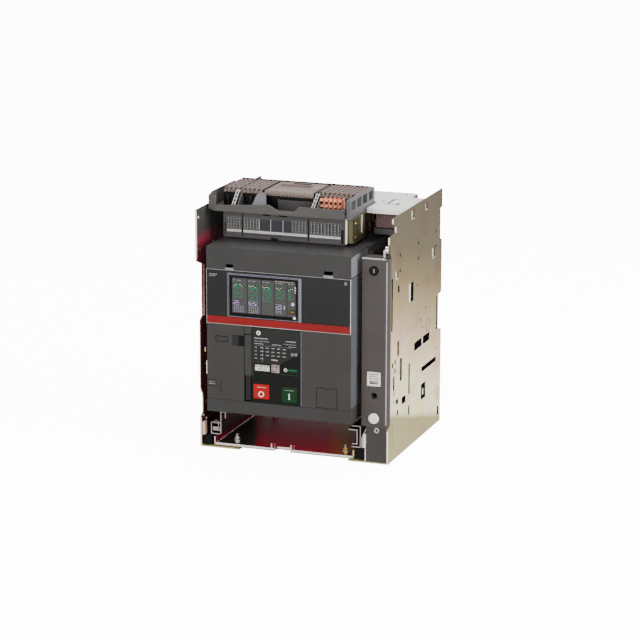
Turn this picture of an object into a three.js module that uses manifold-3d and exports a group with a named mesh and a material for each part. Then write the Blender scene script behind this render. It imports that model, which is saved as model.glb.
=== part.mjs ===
// Three-pole withdrawable air circuit breaker, racked in its cradle.
// Millimetres, +Z up, the front faces -Y, the origin is under the middle of the bounding box.

import * as THREE from 'three';
import { mergeVertices } from 'three/addons/utils/BufferGeometryUtils.js';
import Module from 'manifold-3d';

const wasm = await Module();
wasm.setup();

// ---------------------------------------------------------------- driving dimensions

const GAP = 0.3;                 // clearance between touching pieces
const SHEET = 2;                 // cradle sheet metal
const HALF_WIDTH = 139;          // cradle, to the outside of a side plate
const HALF_DEPTH = 135.5;        // breaker front to cradle back
const HEIGHT = 363.5;            // to the top of the control terminals
const PLATE_TOP = 343.5;

const FRONT = -HALF_DEPTH;       // face of the breaker
const BACK = HALF_DEPTH;         // back edge of the side plates
const PILLAR_FRONT = FRONT + 27; // face of the racking cover and of the plates

const CASE = { x0: -117.5, x1: 92.5, z0: 61, z1: 296, front: FRONT + 1.8, split: -60, back: 36 };
const WALL = 3;                  // moulded walls of the breaker
const PANEL = 1.5;               // thickness of the front panels

const POLE_PITCH = 70;
const POLES = [-1, 0, 1].map((i) => (CASE.x0 + CASE.x1) / 2 + i * POLE_PITCH);
const UPPER_Z = 222;             // height of the upper main terminals
const LOWER_Z = 122;             // height of the lower main terminals
const BLADE = { half: 15, thick: 8, tip: 64 };
const PAD = { half: 20, high: 25, thick: 8, bolt: 5.5, pitch: 16 };
const JAW = { half: 15.5, high: 24, back: 82 };

const SPINDLE = { x: 118, z: 96.7, r: 5 };
const KEY = { x: 117, z: 273, r: 6.5 };
const RELEASE = { x: 117.8, z: 64.6, r: 7.5 };
const INDICATOR = { y: -92, z: 121, r: 12 };

const LEVER = { x0: -60.3, x1: -52.7, y: FRONT + 4.5, z: 84, top: 175 };
const SHAFT = { y: -20, z: 150, r: 7 };
const SHAFT_OPEN = THREE.MathUtils.degToRad(20);
const GEAR = { x: -56.5, y: -100, z: 110, r: 17, teeth: 16 };

const ROUND = 16;                // sides of an ordinary round piece

// ---------------------------------------------------------------- geometry helpers

function box(x0, x1, y0, y1, z0, z1) {
  const geometry = new THREE.BoxGeometry(x1 - x0, y1 - y0, z1 - z0);
  return geometry.translate((x0 + x1) / 2, (y0 + y1) / 2, (z0 + z1) / 2);
}

function extrude(outline, depth) {
  const points = outline instanceof THREE.Shape ? null : outline.map(([u, v]) => new THREE.Vector2(u, v));
  const shape = points ? new THREE.Shape(points) : outline;
  return new THREE.ExtrudeGeometry(shape, { depth, bevelEnabled: false, curveSegments: 6 });
}

// A prism along X from a (y, z) outline.
function prismX(outline, x0, x1) {
  const turn = new THREE.Matrix4().set(0, 0, 1, x0, 1, 0, 0, 0, 0, 1, 0, 0, 0, 0, 0, 1);
  return extrude(outline, x1 - x0).applyMatrix4(turn);
}

// A prism along Y from an (x, z) outline.
function prismY(outline, y0, y1) {
  const turn = new THREE.Matrix4().set(1, 0, 0, 0, 0, 0, -1, y1, 0, 1, 0, 0, 0, 0, 0, 1);
  return extrude(outline, y1 - y0).applyMatrix4(turn);
}

// A prism along Z from an (x, y) outline.
function prismZ(outline, z0, z1) {
  return extrude(outline, z1 - z0).translate(0, 0, z0);
}

function rodX(x0, x1, y, z, r, sides = ROUND) {
  const geometry = new THREE.CylinderGeometry(r, r, x1 - x0, sides).rotateZ(Math.PI / 2);
  return geometry.translate((x0 + x1) / 2, y, z);
}

function rodY(x, y0, y1, z, r, sides = ROUND) {
  return new THREE.CylinderGeometry(r, r, y1 - y0, sides).translate(x, (y0 + y1) / 2, z);
}

function solid(geometry) {
  const bare = geometry.index ? geometry.toNonIndexed() : geometry.clone();
  bare.deleteAttribute('normal');
  bare.deleteAttribute('uv');
  const merged = mergeVertices(bare, 1e-4);
  const vertProperties = new Float32Array(merged.attributes.position.array);
  const triVerts = new Uint32Array(merged.index.array);
  return new wasm.Manifold(new wasm.Mesh({ numProp: 3, vertProperties, triVerts }));
}

function geometryOf(manifold) {
  const mesh = manifold.getMesh();
  const geometry = new THREE.BufferGeometry();
  geometry.setAttribute('position', new THREE.BufferAttribute(mesh.vertProperties, 3));
  geometry.setIndex(new THREE.BufferAttribute(mesh.triVerts, 1));
  geometry.computeVertexNormals();
  return geometry;
}

function join(...pieces) {
  return geometryOf(pieces.map(solid).reduce((sum, piece) => sum.add(piece)));
}

function cut(base, ...tools) {
  return geometryOf(tools.map(solid).reduce((rest, tool) => rest.subtract(tool), solid(base)));
}

// ---------------------------------------------------------------- materials

function finish(color, roughness, metalness) {
  return new THREE.MeshStandardMaterial({ color, roughness, metalness });
}

const MATERIALS = {
  zinc: finish(0xcdbf9f, 0.38, 0.85),
  bright: finish(0xd9d6d0, 0.3, 0.9),
  casing: finish(0x55524f, 0.6, 0),
  cover: finish(0x6a625e, 0.55, 0),
  black: finish(0x2f2d2c, 0.5, 0),
  grey: finish(0x8a8782, 0.55, 0),
  stripe: finish(0xb5261f, 0.4, 0),
  red: finish(0xc02c2a, 0.4, 0),
  green: finish(0x1f5f30, 0.4, 0),
  white: finish(0xe4e1dc, 0.45, 0),
  orange: finish(0xd9864f, 0.45, 0),
  terminal: finish(0xb09f9a, 0.55, 0),
  silver: finish(0x9b9ba8, 0.35, 0.6),
  insulator: finish(0x4a1a1c, 0.45, 0),
  copper: finish(0xd5cfc8, 0.3, 0.95),
  steel: finish(0x8f9194, 0.35, 0.9),
};

const model = new THREE.Group();

function add(name, geometry, material) {
  const mesh = new THREE.Mesh(geometry, MATERIALS[material]);
  mesh.name = name;
  model.add(mesh);
}

// ---------------------------------------------------------------- cradle

const PLATE_IN = HALF_WIDTH - SHEET;
const FOOT_WIDTH = 59;

const RIGHT_PLATE = [
  [BACK, SHEET / 2], [BACK, 138], [111, 141], [111, 190], [BACK, 193], [BACK, 270], [127, 272],
  [127, 316], [BACK, 318], [BACK, PLATE_TOP], [-92, PLATE_TOP], [-92, 335.5], [-79.5, 330.5],
  [-79.5, 321.8], [PILLAR_FRONT, 320.4], [PILLAR_FRONT, 309.6], [-102.7, 294.3], [-100, 290],
  [-100, 55], [PILLAR_FRONT, 49], [PILLAR_FRONT, SHEET / 2],
];

const LEFT_PLATE = [
  [BACK, SHEET / 2], [BACK, 138], [111, 141], [111, 190], [BACK, 193], [BACK, 270], [127, 272],
  [127, 316], [BACK, 318], [BACK, PLATE_TOP], [-122, PLATE_TOP - 1], [-122, 270],
  [-100.5, 262], [-100.5, 189], [PILLAR_FRONT, 184], [PILLAR_FRONT, 82], [-103, 76], [-101, 66],
  [-101, 49], [PILLAR_FRONT, 43], [PILLAR_FRONT, SHEET / 2],
];

// Windows in both side plates: first and last y, lowest and highest z.
const WINDOWS = [
  [6.5, 43, 134, 146], [47.4, 79.5, 134, 146], [42, 112, 94.5, 102], [40.5, 63, 54, 77],
  [-49, -30, 70.5, 81], [-98, -93.5, 187, 260], [-20, 0, 209.5, 236.5], [-57, -50, 107, 139],
  [-18, -13, 78, 122], [-18, -13, 48, 61], [-70, -64, 146, 166], [-82, -78, 137, 143],
  [-82, -78, 124, 130], [-88, -83, 100, 120], [-94.5, -90, 134, 140.5], [-75, -66, 78, 84],
  [-70, -65.5, 61.5, 68], [120.5, 127, 11.5, 24], [88.5, 101, 251, 265], [-80, -68, 256, 267],
  [-69.5, -64, 235.5, 245], [-10.5, 2, 327, 338.5], [53.5, 63, 328, 337],
];

function sidePlate(outline, side) {
  const inner = side * PLATE_IN;
  const outer = side * HALF_WIDTH;
  const x0 = Math.min(inner, outer);
  const x1 = Math.max(inner, outer);
  const toe = outer - side * FOOT_WIDTH;
  const foot = box(Math.min(toe, outer), Math.max(toe, outer), PILLAR_FRONT, BACK, 0, SHEET);
  const windows = WINDOWS.map(([y0, y1, z0, z1]) => box(x0 - 1, x1 + 1, y0, y1, z0, z1));
  const holes = [-60, 23, 106].flatMap((y) => [265, 286.5].map((z) => rodX(x0 - 1, x1 + 1, y, z, 2, 8)));
  return cut(join(prismX(outline, x0, x1), foot), ...windows, ...holes);
}

function floorPan() {
  const low = SHEET + GAP;
  const high = low + SHEET;
  const rim = 15;
  const left = -120;
  const right = 88;
  const channel = [
    [left, rim], [left, low + 3], [left + 3, low], [right - 3, low], [right, low + 3], [right, rim],
    [right - SHEET, rim], [right - SHEET, high + 1], [right - 3, high], [left + 3, high],
    [left + SHEET, high + 1], [left + SHEET, rim],
  ];
  const pan = prismY(channel, -104, 125);
  const tabs = [-35, -6].map((x) => box(x, x + 6, -104, -102, low + 0.5, 13));
  const notch = box(-29, -6, -105, -95, low - 1, high + 1);
  return cut(join(pan, ...tabs), notch);
}

function crossPlate() {
  const outline = [
    [-PLATE_IN + GAP, 24], [78, 24], [78, -23.5], [PLATE_IN - GAP, -23.5], [PLATE_IN - GAP, 66.5],
    [-PLATE_IN + GAP, 66.5],
  ];
  const slots = [box(93, 119, 12, 15, 340, 345), box(93, 119, 36, 39, 340, 345)];
  return cut(prismZ(outline, PLATE_TOP - 2 * SHEET, PLATE_TOP - SHEET), ...slots);
}

function rearBase() {
  const block = box(-112, 108, 59, 118, 40, 335);
  const wide = BLADE.half + GAP;
  const high = BLADE.thick / 2 + GAP;
  const pockets = [];
  for (const x of POLES) {
    for (const z of [LOWER_Z, UPPER_Z]) {
      pockets.push(box(x - 20, x + 20, 58, 100, z - 14, z + 14));
      pockets.push(box(x - wide, x + wide, 99, 120, z - high, z + high));
    }
  }
  return cut(block, ...pockets);
}

function mainTerminal(x, z) {
  const high = BLADE.thick / 2;
  const blade = box(x - BLADE.half, x + BLADE.half, BLADE.tip, BACK - 1, z - high, z + high);
  const pad = box(x - PAD.half, x + PAD.half, BACK - PAD.thick, BACK, z - PAD.high, z + PAD.high);
  const bolts = [-PAD.pitch, PAD.pitch].map((dz) => rodY(x, BACK - 10, BACK + 2, z + dz, PAD.bolt, 12));
  return cut(join(blade, pad), ...bolts);
}

function shutter(low, high, openLow, openHigh, y) {
  const openings = POLES.map((x) => box(x - 19, x + 19, y - 1, y + 3, openLow, openHigh));
  return cut(box(-113, 88, y, y + 2, low, high), ...openings);
}

function fixedRail(side) {
  const leftRail = [
    [-125, 18], [-111, 18], [-111, 20], [-123, 20], [-123, 34], [-111, 34], [-111, 36], [-125, 36],
  ];
  const rightRail = [[98, 19], [98, 51], [84, 51], [84, 49], [96, 49], [96, 21], [84, 21], [84, 19]];
  return prismY(side < 0 ? leftRail : rightRail, -104, 45);
}

function slidingRail(side) {
  const leftRail = [
    [-121, 24], [-110, 24], [-110, 20], [-108, 20], [-108, 51], [-103, 51], [-103, 43], [-101, 43],
    [-101, 53], [-110, 53], [-110, 30], [-121, 30],
  ];
  const rightRail = [[94, 24], [94, 46], [80, 46], [80, 44], [92, 44], [92, 26], [86, 26], [86, 24]];
  return prismY(side < 0 ? leftRail : rightRail, -106, 40);
}

function addCradle() {
  add('side_plate_right', sidePlate(RIGHT_PLATE, 1), 'zinc');
  add('side_plate_left', sidePlate(LEFT_PLATE, -1), 'zinc');
  add('floor_pan', floorPan(), 'zinc');
  add('cross_plate', crossPlate(), 'zinc');
  add('rear_base', rearBase(), 'insulator');
  POLES.forEach((x, i) => {
    add(`upper_terminal_${i + 1}`, mainTerminal(x, UPPER_Z), 'copper');
    add(`lower_terminal_${i + 1}`, mainTerminal(x, LOWER_Z), 'copper');
  });
  add('upper_shutter', shutter(145, 246, 177, 236, 52), 'insulator');
  add('lower_shutter', shutter(98, 199, 108, 167, 55), 'insulator');
  add('fixed_rail_left', fixedRail(-1), 'zinc');
  add('fixed_rail_right', fixedRail(1), 'zinc');
  add('sliding_rail_left', slidingRail(-1), 'zinc');
  add('sliding_rail_right', slidingRail(1), 'zinc');
}

// ---------------------------------------------------------------- racking mechanism in the pillar

function pillarOutline() {
  const shape = new THREE.Shape();
  shape.moveTo(100, -84);
  shape.lineTo(100, PILLAR_FRONT);
  shape.lineTo(134, PILLAR_FRONT);
  shape.absarc(134, PILLAR_FRONT + 5, 5, -Math.PI / 2, 0, false);
  shape.lineTo(HALF_WIDTH, -100 - GAP);
  shape.lineTo(PLATE_IN - GAP, -100 - GAP);
  shape.lineTo(PLATE_IN - GAP, -84);
  shape.closePath();
  return shape;
}

function pillarHollow() {
  const shape = new THREE.Shape();
  shape.moveTo(102.5, -80);
  shape.lineTo(102.5, PILLAR_FRONT + 2.5);
  shape.lineTo(134, PILLAR_FRONT + 2.5);
  shape.absarc(134, PILLAR_FRONT + 5, 2.5, -Math.PI / 2, 0, false);
  shape.lineTo(136.5, -100 - GAP);
  shape.lineTo(PLATE_IN + 2, -100 - GAP);
  shape.lineTo(PLATE_IN + 2, -80);
  shape.closePath();
  return shape;
}

function pillarCover() {
  const y0 = PILLAR_FRONT - 1;
  const y1 = PILLAR_FRONT + 4;
  return cut(
    prismZ(pillarOutline(), SHEET + GAP, 290),
    prismZ(pillarHollow(), 0, 287.5),
    box(95, 107, y0, -80, 0, 53),
    box(PLATE_IN - GAP, 145, y0, -80, 0, 55),
    rodY(SPINDLE.x, y0, y1, SPINDLE.z, 4.75),
    box(107.3, 127.8, y0, y1, 110, 131),
    rodY(KEY.x, y0, y1, KEY.z, KEY.r + GAP),
    rodY(RELEASE.x, y0, y1, RELEASE.z, RELEASE.r + GAP),
    rodY(122.3, y0, y1, 47.9, 3.4, 12),
  );
}

function lockBody() {
  const barrel = rodY(KEY.x, PILLAR_FRONT - 1.2, -86, KEY.z, KEY.r);
  return cut(barrel, rodY(KEY.x, PILLAR_FRONT - 3, -80, KEY.z, 5));
}

function lockRotor() {
  const rotor = rodY(KEY.x, PILLAR_FRONT - 0.9, -84, KEY.z, 4.7);
  return cut(rotor, box(KEY.x - 0.8, KEY.x + 0.8, PILLAR_FRONT - 2, PILLAR_FRONT + 6, KEY.z - 3, KEY.z + 3));
}

function spindleBracket() {
  const outline = [
    [104, -98], [135, -98], [135, 23], [104, 23], [104, 20], [132, 20], [132, -95], [104, -95],
  ];
  const bore = rodY(SPINDLE.x, -100, 30, SPINDLE.z, SPINDLE.r + GAP);
  return cut(prismZ(outline, 86, 107), bore);
}

function rackingSpindle() {
  const rod = rodY(SPINDLE.x, -104, 30, SPINDLE.z, SPINDLE.r - 0.5, 12);
  const socket = box(SPINDLE.x - 2, SPINDLE.x + 2, -106, -94, SPINDLE.z - 2, SPINDLE.z + 2);
  return cut(rod, socket);
}

function rackingCarriage() {
  const nut = box(106, 129, -14, 10, 86, 107);
  const arm = box(93.2, 107, -10, 6, 88, 105);
  return cut(join(nut, arm), rodY(SPINDLE.x, -16, 12, SPINDLE.z, SPINDLE.r + GAP));
}

function addRacking() {
  add('pillar_cover', pillarCover(), 'cover');
  add('spindle_bracket', spindleBracket(), 'zinc');
  add('racking_spindle', rackingSpindle(), 'steel');
  add('racking_carriage', rackingCarriage(), 'steel');
  add('position_indicator', rodX(107, 128, INDICATOR.y, INDICATOR.z, INDICATOR.r, 20), 'white');
  add('lock_body', lockBody(), 'bright');
  add('key_lock', lockRotor(), 'bright');
  add('release_button', rodY(RELEASE.x, PILLAR_FRONT - 1.5, -100, RELEASE.z, RELEASE.r), 'white');
}

// ---------------------------------------------------------------- control terminal box

const BOX = { x0: -115.5, x1: 63.5, y: -74.5, z0: 297.2, z1: 336 };
const BLOCK = { y0: -54, y1: 19, z0: 338.3 };
const HOOD = { x0: -135, x1: 68, front: -91, back: 20, z: 338 };

function terminalFascia() {
  const windows = [[-62, -45.5], [-44.7, -27.5], [-26.7, -15.5]];
  return cut(
    box(BOX.x0, BOX.x1, BOX.y, 18, BOX.z0, BOX.z1),
    box(BOX.x0 + WALL, BOX.x1 - WALL, BOX.y + WALL, 22, BOX.z0 + WALL, BOX.z1 - WALL),
    ...windows.map(([x0, x1]) => box(x0, x1, BOX.y - 1, BOX.y + 5, 310, 325)),
    box(-57, -46, BOX.y - 1, BOX.y + 6, 331, 340),
    box(-33, -21, BOX.y - 1, BOX.y + 6, 331, 340),
    box(-45, -34, BOX.y - 1, BOX.y + 6, 290, 300.6),
  );
}

function terminalHood() {
  const base = HOOD.z - 1.7;
  const floor = [
    [HOOD.x0, -82], [-123, HOOD.front], [HOOD.x1, HOOD.front], [HOOD.x1, HOOD.back], [HOOD.x0, HOOD.back],
  ];
  const edge = [
    [-123, base], [HOOD.x1, base], [HOOD.x1, 350], [2, 350],
    [-8, 340.5], [-26, 340.5], [-42, 350], [-123, 344],
  ];
  const slope = [[-82, base], [HOOD.back, base], [HOOD.back, 358.5], [-68, 359.5], [-82, 356]];
  return join(
    prismZ(floor, base, HOOD.z),
    prismY(edge, HOOD.front, HOOD.front + 2),
    prismX(slope, HOOD.x0, HOOD.x0 + 2),
    box(HOOD.x0, -124, -82, -79, base, 356),
  );
}

// A terminal block with raised partitions on its top.
function terminalBlock(x0, x1, y0, y1, base, top, pitch) {
  const wall = 1.6;
  const outline = [[x0, base], [x1, base]];
  for (let x = x1; x - pitch > x0; x -= pitch) {
    outline.push([x, top], [x - wall, top], [x - wall, top - 5], [x - pitch, top - 5]);
  }
  outline.push([x0, top - 5]);
  return prismY(outline, y0, y1);
}

// The middle block is plain, with a shallow socket in its top.
function socketBlock(x0, x1, y0, y1, base, top) {
  return cut(box(x0, x1, y0, y1, base, top), box(-57, -8, -26, 3, top - 4, top + 1));
}

function endWall() {
  const wall = box(70, 76, -88.5, 16.5, 336.2, HEIGHT);
  const windows = [0, 1, 2, 3].map((i) => box(69, 77, -84 + i * 25, -66 + i * 25, 348, 360.5));
  return cut(wall, ...windows);
}

function terminalBracket() {
  const outline = [[66, 299], [68, 299], [68, 334], [77, 334], [77, 336], [66, 336]];
  return cut(prismY(outline, -74, -12), box(60, 80, -35, -20, 305, 325));
}

function addTerminalBox() {
  add('terminal_box', terminalFascia(), 'grey');
  add('terminal_hood', terminalHood(), 'grey');
  const { y0, y1, z0 } = BLOCK;
  add('terminal_block_left', terminalBlock(-122.5, -66, y0, y1, z0, HEIGHT, 6.9), 'terminal');
  add('terminal_block_middle', socketBlock(-62, 10, y0, y1, z0, 362), 'terminal');
  add('terminal_block_right', terminalBlock(14, 69.7, -46, y1, z0, HEIGHT, 6.9), 'terminal');
  add('push_in_terminals', terminalBlock(21, 54, -58, -46.3, 341, 358, 6.5), 'orange');
  add('terminal_end_wall', endWall(), 'grey');
  add('terminal_bracket', terminalBracket(), 'zinc');
}

// ---------------------------------------------------------------- breaker: cases and front

// Openings in the front of the breaker.
const CENTRE_OPENING = { x0: -62.3, x1: 21.3, z0: 79.3, z1: 186.3 };
const TRIP = { x0: -85, x1: 18, z0: 199, z1: 259, back: -98 };
const DOOR = { x0: 44, x1: 73, z0: 81, z1: 108.5 };
const TEST = { x: 8.9, z: 223, r: 2.5 };
const OFF = { x0: -49, x1: -25.5, z0: 85, z1: 106 };
const ON = { x0: -7.5, x1: 15.5, z0: 83, z1: 105 };
const RESET = { x: -41, z: 179, r: 4 };
const SPRING_WINDOW = { x0: -47, x1: -25, z0: 125, z1: 133.5 };
const CONTACT_WINDOW = { x0: -6, x1: 16, z0: 126, z1: 132 };
const FLAG_Y = FRONT + 2.4;      // face of the two state flags behind the nameplate
const FLAG_THICK = 0.8;
const GRIP = { x0: -80, x1: -60, z0: 158, z1: 173 };
const SEAM_Z = 264.4;            // groove round the sides of the front casing
const BAND_Z = 264.3;            // underside of the band across the top of the front
const SKIRT_Z = 79;              // top of the skirt across the bottom of the front
const STRIPE = { z0: 188, z1: 198.2 };

function opening(area, y0, y1, grow = GAP) {
  return box(area.x0 - grow, area.x1 + grow, y0, y1, area.z0 - grow, area.z1 + grow);
}

function frontCasing() {
  const { x0, x1, z0, z1, front, split } = CASE;
  const y0 = FRONT - 1;
  const y1 = front + WALL + 1;
  const shell = join(
    box(x0, x1, front, split, z0, z1),
    box(x0, x1, FRONT, front + 1, BAND_Z, z1),
    box(x0, x1, FRONT, front + 1, z0, SKIRT_Z),
  );
  return cut(
    shell,
    box(x0 + WALL, x1 - WALL, front + WALL, split + 1, z0 + WALL, z1 - WALL),
    opening(CENTRE_OPENING, y0, y1, 0),
    opening(GRIP, y0, y1, 0),
    box(x0 - 1, x0 + 0.7, FRONT - 1, split + 1, SEAM_Z, SEAM_Z + 1),
    box(x1 - 0.7, x1 + 1, FRONT - 1, split + 1, SEAM_Z, SEAM_Z + 1),
    opening(TRIP, y0, y1),
    opening(DOOR, y0, y1, 0.6),
    box(-89, -78, y0, y1, 267.5, 272.6),
    box(54, 67, y0, y1, 268.6, 273.4),
  );
}

function breakerBase() {
  const { x0, x1, z0, z1, split, back } = CASE;
  const tools = [rodX(-60, 35, SHAFT.y, SHAFT.z, SHAFT.r + GAP)];
  for (const x of POLES) {
    tools.push(box(x - 31, x + 31, split - 2, back - 8, 75, 276));
    for (const z of [LOWER_Z, UPPER_Z]) {
      tools.push(box(x - 14.3, x + 14.3, back - 10, back + 2, z - 5.3, z + 5.3));
    }
  }
  return cut(box(x0, x1, split + GAP, back, z0, z1 - 1), ...tools);
}

function panel(x0, x1, z0, z1) {
  return box(x0, x1, FRONT, FRONT + PANEL, z0, z1);
}

function upperFascia() {
  const window = box(TRIP.x0 - GAP, TRIP.x1 + GAP, FRONT - 1, FRONT + 3, 190, TRIP.z1 + GAP);
  return cut(panel(CASE.x0 + GAP, CASE.x1 - GAP, STRIPE.z1 + GAP, BAND_Z - GAP), window);
}

function lowerLeftPanel() {
  const grip = opening(GRIP, FRONT - 1, FRONT + 3, 0);
  return cut(panel(CASE.x0 + GAP, CENTRE_OPENING.x0 - GAP, SKIRT_Z + GAP, STRIPE.z0 - GAP), grip);
}

function lowerRightPanel() {
  const low = CENTRE_OPENING.x1 + GAP;
  const doorway = opening(DOOR, FRONT - 1, FRONT + 3, 0.6);
  return cut(panel(low, CASE.x1 - GAP, SKIRT_Z + GAP, STRIPE.z0 - GAP), doorway);
}

function nameplate() {
  const y0 = FRONT - 1;
  const y1 = FRONT + 6;
  return cut(
    box(-51, CENTRE_OPENING.x1 - GAP, FRONT + 0.3, FRONT + 2, CENTRE_OPENING.z0 + GAP, 186),
    opening(OFF, y0, y1),
    opening(ON, y0, y1),
    rodY(RESET.x, y0, y1, RESET.z, RESET.r + GAP),
    opening(SPRING_WINDOW, y0, y1, 0),
    opening(CONTACT_WINDOW, y0, y1, 0),
  );
}

function tripUnit() {
  return cut(
    box(TRIP.x0, TRIP.x1, FRONT + 0.3, TRIP.back, TRIP.z0, TRIP.z1),
    box(TRIP.x0 + 4, TRIP.x1 - 4, FRONT - 1, FRONT + 1.6, TRIP.z0 + 4, TRIP.z1 - 4),
    rodY(TEST.x, FRONT - 1, FRONT + 9, TEST.z, TEST.r + GAP, 12),
  );
}

function chargingLever() {
  const bar = box(LEVER.x0, LEVER.x1, LEVER.y - 3.5, LEVER.y + 1.5, LEVER.z, LEVER.top);
  return join(bar, rodX(LEVER.x0, LEVER.x1, LEVER.y, LEVER.z, 3.3));
}

// ---------------------------------------------------------------- breaker: mechanism and poles

function chargingGear() {
  const outline = [];
  for (let i = 0; i < GEAR.teeth; i += 1) {
    const angle = (i / GEAR.teeth) * 2 * Math.PI;
    const next = angle + (0.85 * 2 * Math.PI) / GEAR.teeth;
    outline.push([GEAR.y + GEAR.r * Math.cos(angle), GEAR.z + GEAR.r * Math.sin(angle)]);
    outline.push([GEAR.y + 0.86 * GEAR.r * Math.cos(next), GEAR.z + 0.86 * GEAR.r * Math.sin(next)]);
  }
  return join(prismX(outline, GEAR.x - 3, GEAR.x + 3), rodX(GEAR.x, -30, GEAR.y, GEAR.z, 4, 12));
}

function mechanismFrame() {
  const outline = [
    [-50, -118], [-48, -118], [-48, -66], [18, -66], [18, -118], [20, -118], [20, -64], [-50, -64],
  ];
  return cut(prismZ(outline, 82, 184), rodX(-55, -40, GEAR.y, GEAR.z, 4 + GAP, 12));
}

// The coiled spring as its outer cylinder, standing behind the mechanism.
function closingSpring() {
  const radius = 10;
  const length = 86;
  const geometry = new THREE.CylinderGeometry(radius, radius, length, 12).rotateX(Math.PI / 2);
  return geometry.translate(0, -90, 132);
}

function contactBar(x, z) {
  const slot = BLADE.thick / 2 + GAP;
  const bar = box(x - 14, x + 14, -10, 40, z - 5, z + 5);
  const jaw = box(x - JAW.half, x + JAW.half, CASE.back + GAP, JAW.back, z - JAW.high / 2, z + JAW.high / 2);
  return cut(join(bar, jaw), box(x - 20, x + 20, BLADE.tip - 4, JAW.back + 2, z - slot, z + slot));
}

// The shaft carries one contact arm for each pole, drawn closed and then turned open.
function mainShaft() {
  const arms = POLES.flatMap((x) => [
    rodX(x - 9, x + 9, 0, 0, 11, 12),
    box(x - 9, x + 9, 1, 7, 0, 80),
    box(x - 9, x + 9, 6, 9.6, 66, 79),
  ]);
  const shaft = rodX(-112, 87, 0, 0, SHAFT.r);
  const geometry = join(shaft, ...arms).rotateX(SHAFT_OPEN);
  return geometry.translate(0, SHAFT.y, SHAFT.z);
}

function addBreaker() {
  add('front_casing', frontCasing(), 'casing');
  add('breaker_base', breakerBase(), 'casing');
  add('upper_fascia', upperFascia(), 'black');
  add('stripe_band', panel(CASE.x0 + GAP, CASE.x1 - GAP, STRIPE.z0, STRIPE.z1), 'stripe');
  add('lower_left_panel', lowerLeftPanel(), 'casing');
  add('lower_right_panel', lowerRightPanel(), 'casing');
  add('access_door', panel(DOOR.x0, DOOR.x1, DOOR.z0, DOOR.z1), 'casing');
  add('nameplate', nameplate(), 'black');
  add('trip_unit', tripUnit(), 'silver');
  add('trip_test_button', rodY(TEST.x, FRONT + 0.4, FRONT + 5, TEST.z, TEST.r, 12), 'terminal');
  add('charging_lever', chargingLever(), 'black');
  add('charging_gear', chargingGear(), 'steel');
  add('off_button', box(OFF.x0, OFF.x1, FRONT + 0.1, FRONT + 9, OFF.z0, OFF.z1), 'red');
  add('on_button', box(ON.x0, ON.x1, FRONT + 0.1, FRONT + 9, ON.z0, ON.z1), 'green');
  add('reset_button', rodY(RESET.x, FRONT + 0.1, FRONT + 8, RESET.z, RESET.r), 'grey');
  add('contact_flag', box(-7, 17, FLAG_Y, FLAG_Y + FLAG_THICK, 118, 134), 'green');
  add('spring_flag', box(-48, -24, FLAG_Y, FLAG_Y + FLAG_THICK, 116, 135), 'white');
  add('mechanism_frame', mechanismFrame(), 'zinc');
  add('closing_spring', closingSpring(), 'steel');
  add('main_shaft', mainShaft(), 'steel');
  POLES.forEach((x, i) => {
    add(`upper_jaw_${i + 1}`, contactBar(x, UPPER_Z), 'copper');
    add(`lower_jaw_${i + 1}`, contactBar(x, LOWER_Z), 'copper');
  });
}

addCradle();
addRacking();
addTerminalBox();
addBreaker();

export default model;
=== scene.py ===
"""Looks of the withdrawable air circuit breaker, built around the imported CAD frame."""
import math
import random

import bmesh
import bpy
from mathutils import Matrix, Vector


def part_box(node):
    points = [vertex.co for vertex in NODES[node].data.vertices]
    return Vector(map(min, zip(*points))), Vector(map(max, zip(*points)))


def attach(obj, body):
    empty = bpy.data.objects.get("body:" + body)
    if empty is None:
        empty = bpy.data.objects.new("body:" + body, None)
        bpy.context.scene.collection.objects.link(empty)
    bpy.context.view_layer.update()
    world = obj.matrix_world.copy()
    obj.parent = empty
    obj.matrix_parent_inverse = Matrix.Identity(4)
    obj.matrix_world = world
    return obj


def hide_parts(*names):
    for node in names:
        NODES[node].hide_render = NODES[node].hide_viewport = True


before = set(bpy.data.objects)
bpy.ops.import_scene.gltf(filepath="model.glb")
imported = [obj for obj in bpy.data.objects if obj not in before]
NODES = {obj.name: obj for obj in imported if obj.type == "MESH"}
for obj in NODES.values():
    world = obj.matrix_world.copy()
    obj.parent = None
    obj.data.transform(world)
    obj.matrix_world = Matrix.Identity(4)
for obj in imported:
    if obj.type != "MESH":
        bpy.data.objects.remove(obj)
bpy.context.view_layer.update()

MM = 0.001


# ---------------------------------------------------------------- places taken from the frame, in mm

def place(node):
    """Lowest and highest corner of a CAD node, in millimetres."""
    low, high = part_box(node)
    return low / MM, high / MM


STRIPE = place("stripe_band")
FACE = STRIPE[0].y                        # front face of the breaker
PILLAR = place("pillar_cover")[0]         # its y is the front face of the pillar
PLATE_R = place("side_plate_right")
PLATE_L = place("side_plate_left")
CASE = place("front_casing")
BASE = place("breaker_base")
TRIP = place("trip_unit")
NAME = place("nameplate")
OFF = place("off_button")
ON = place("on_button")
TBOX = place("terminal_box")
FLOOR_PAN = place("floor_pan")


def middle(node):
    """Centre of a CAD node's box, in millimetres."""
    low, high = place(node)
    return (low + high) / 2


POLES = [middle(f"upper_jaw_{i}").x for i in (1, 2, 3)]
POLE_PITCH = POLES[1] - POLES[0]


# ---------------------------------------------------------------- materials

def new_material(name):
    """A material, its node tree and its shader."""
    mat = bpy.data.materials.new(name)
    mat.use_nodes = True
    return mat, mat.node_tree, mat.node_tree.nodes["Principled BSDF"]


def noise(tree, scale, detail=4.0, roughness=0.55):
    node = tree.nodes.new("ShaderNodeTexNoise")
    node.inputs["Scale"].default_value = scale
    node.inputs["Detail"].default_value = detail
    node.inputs["Roughness"].default_value = roughness
    return node


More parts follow.
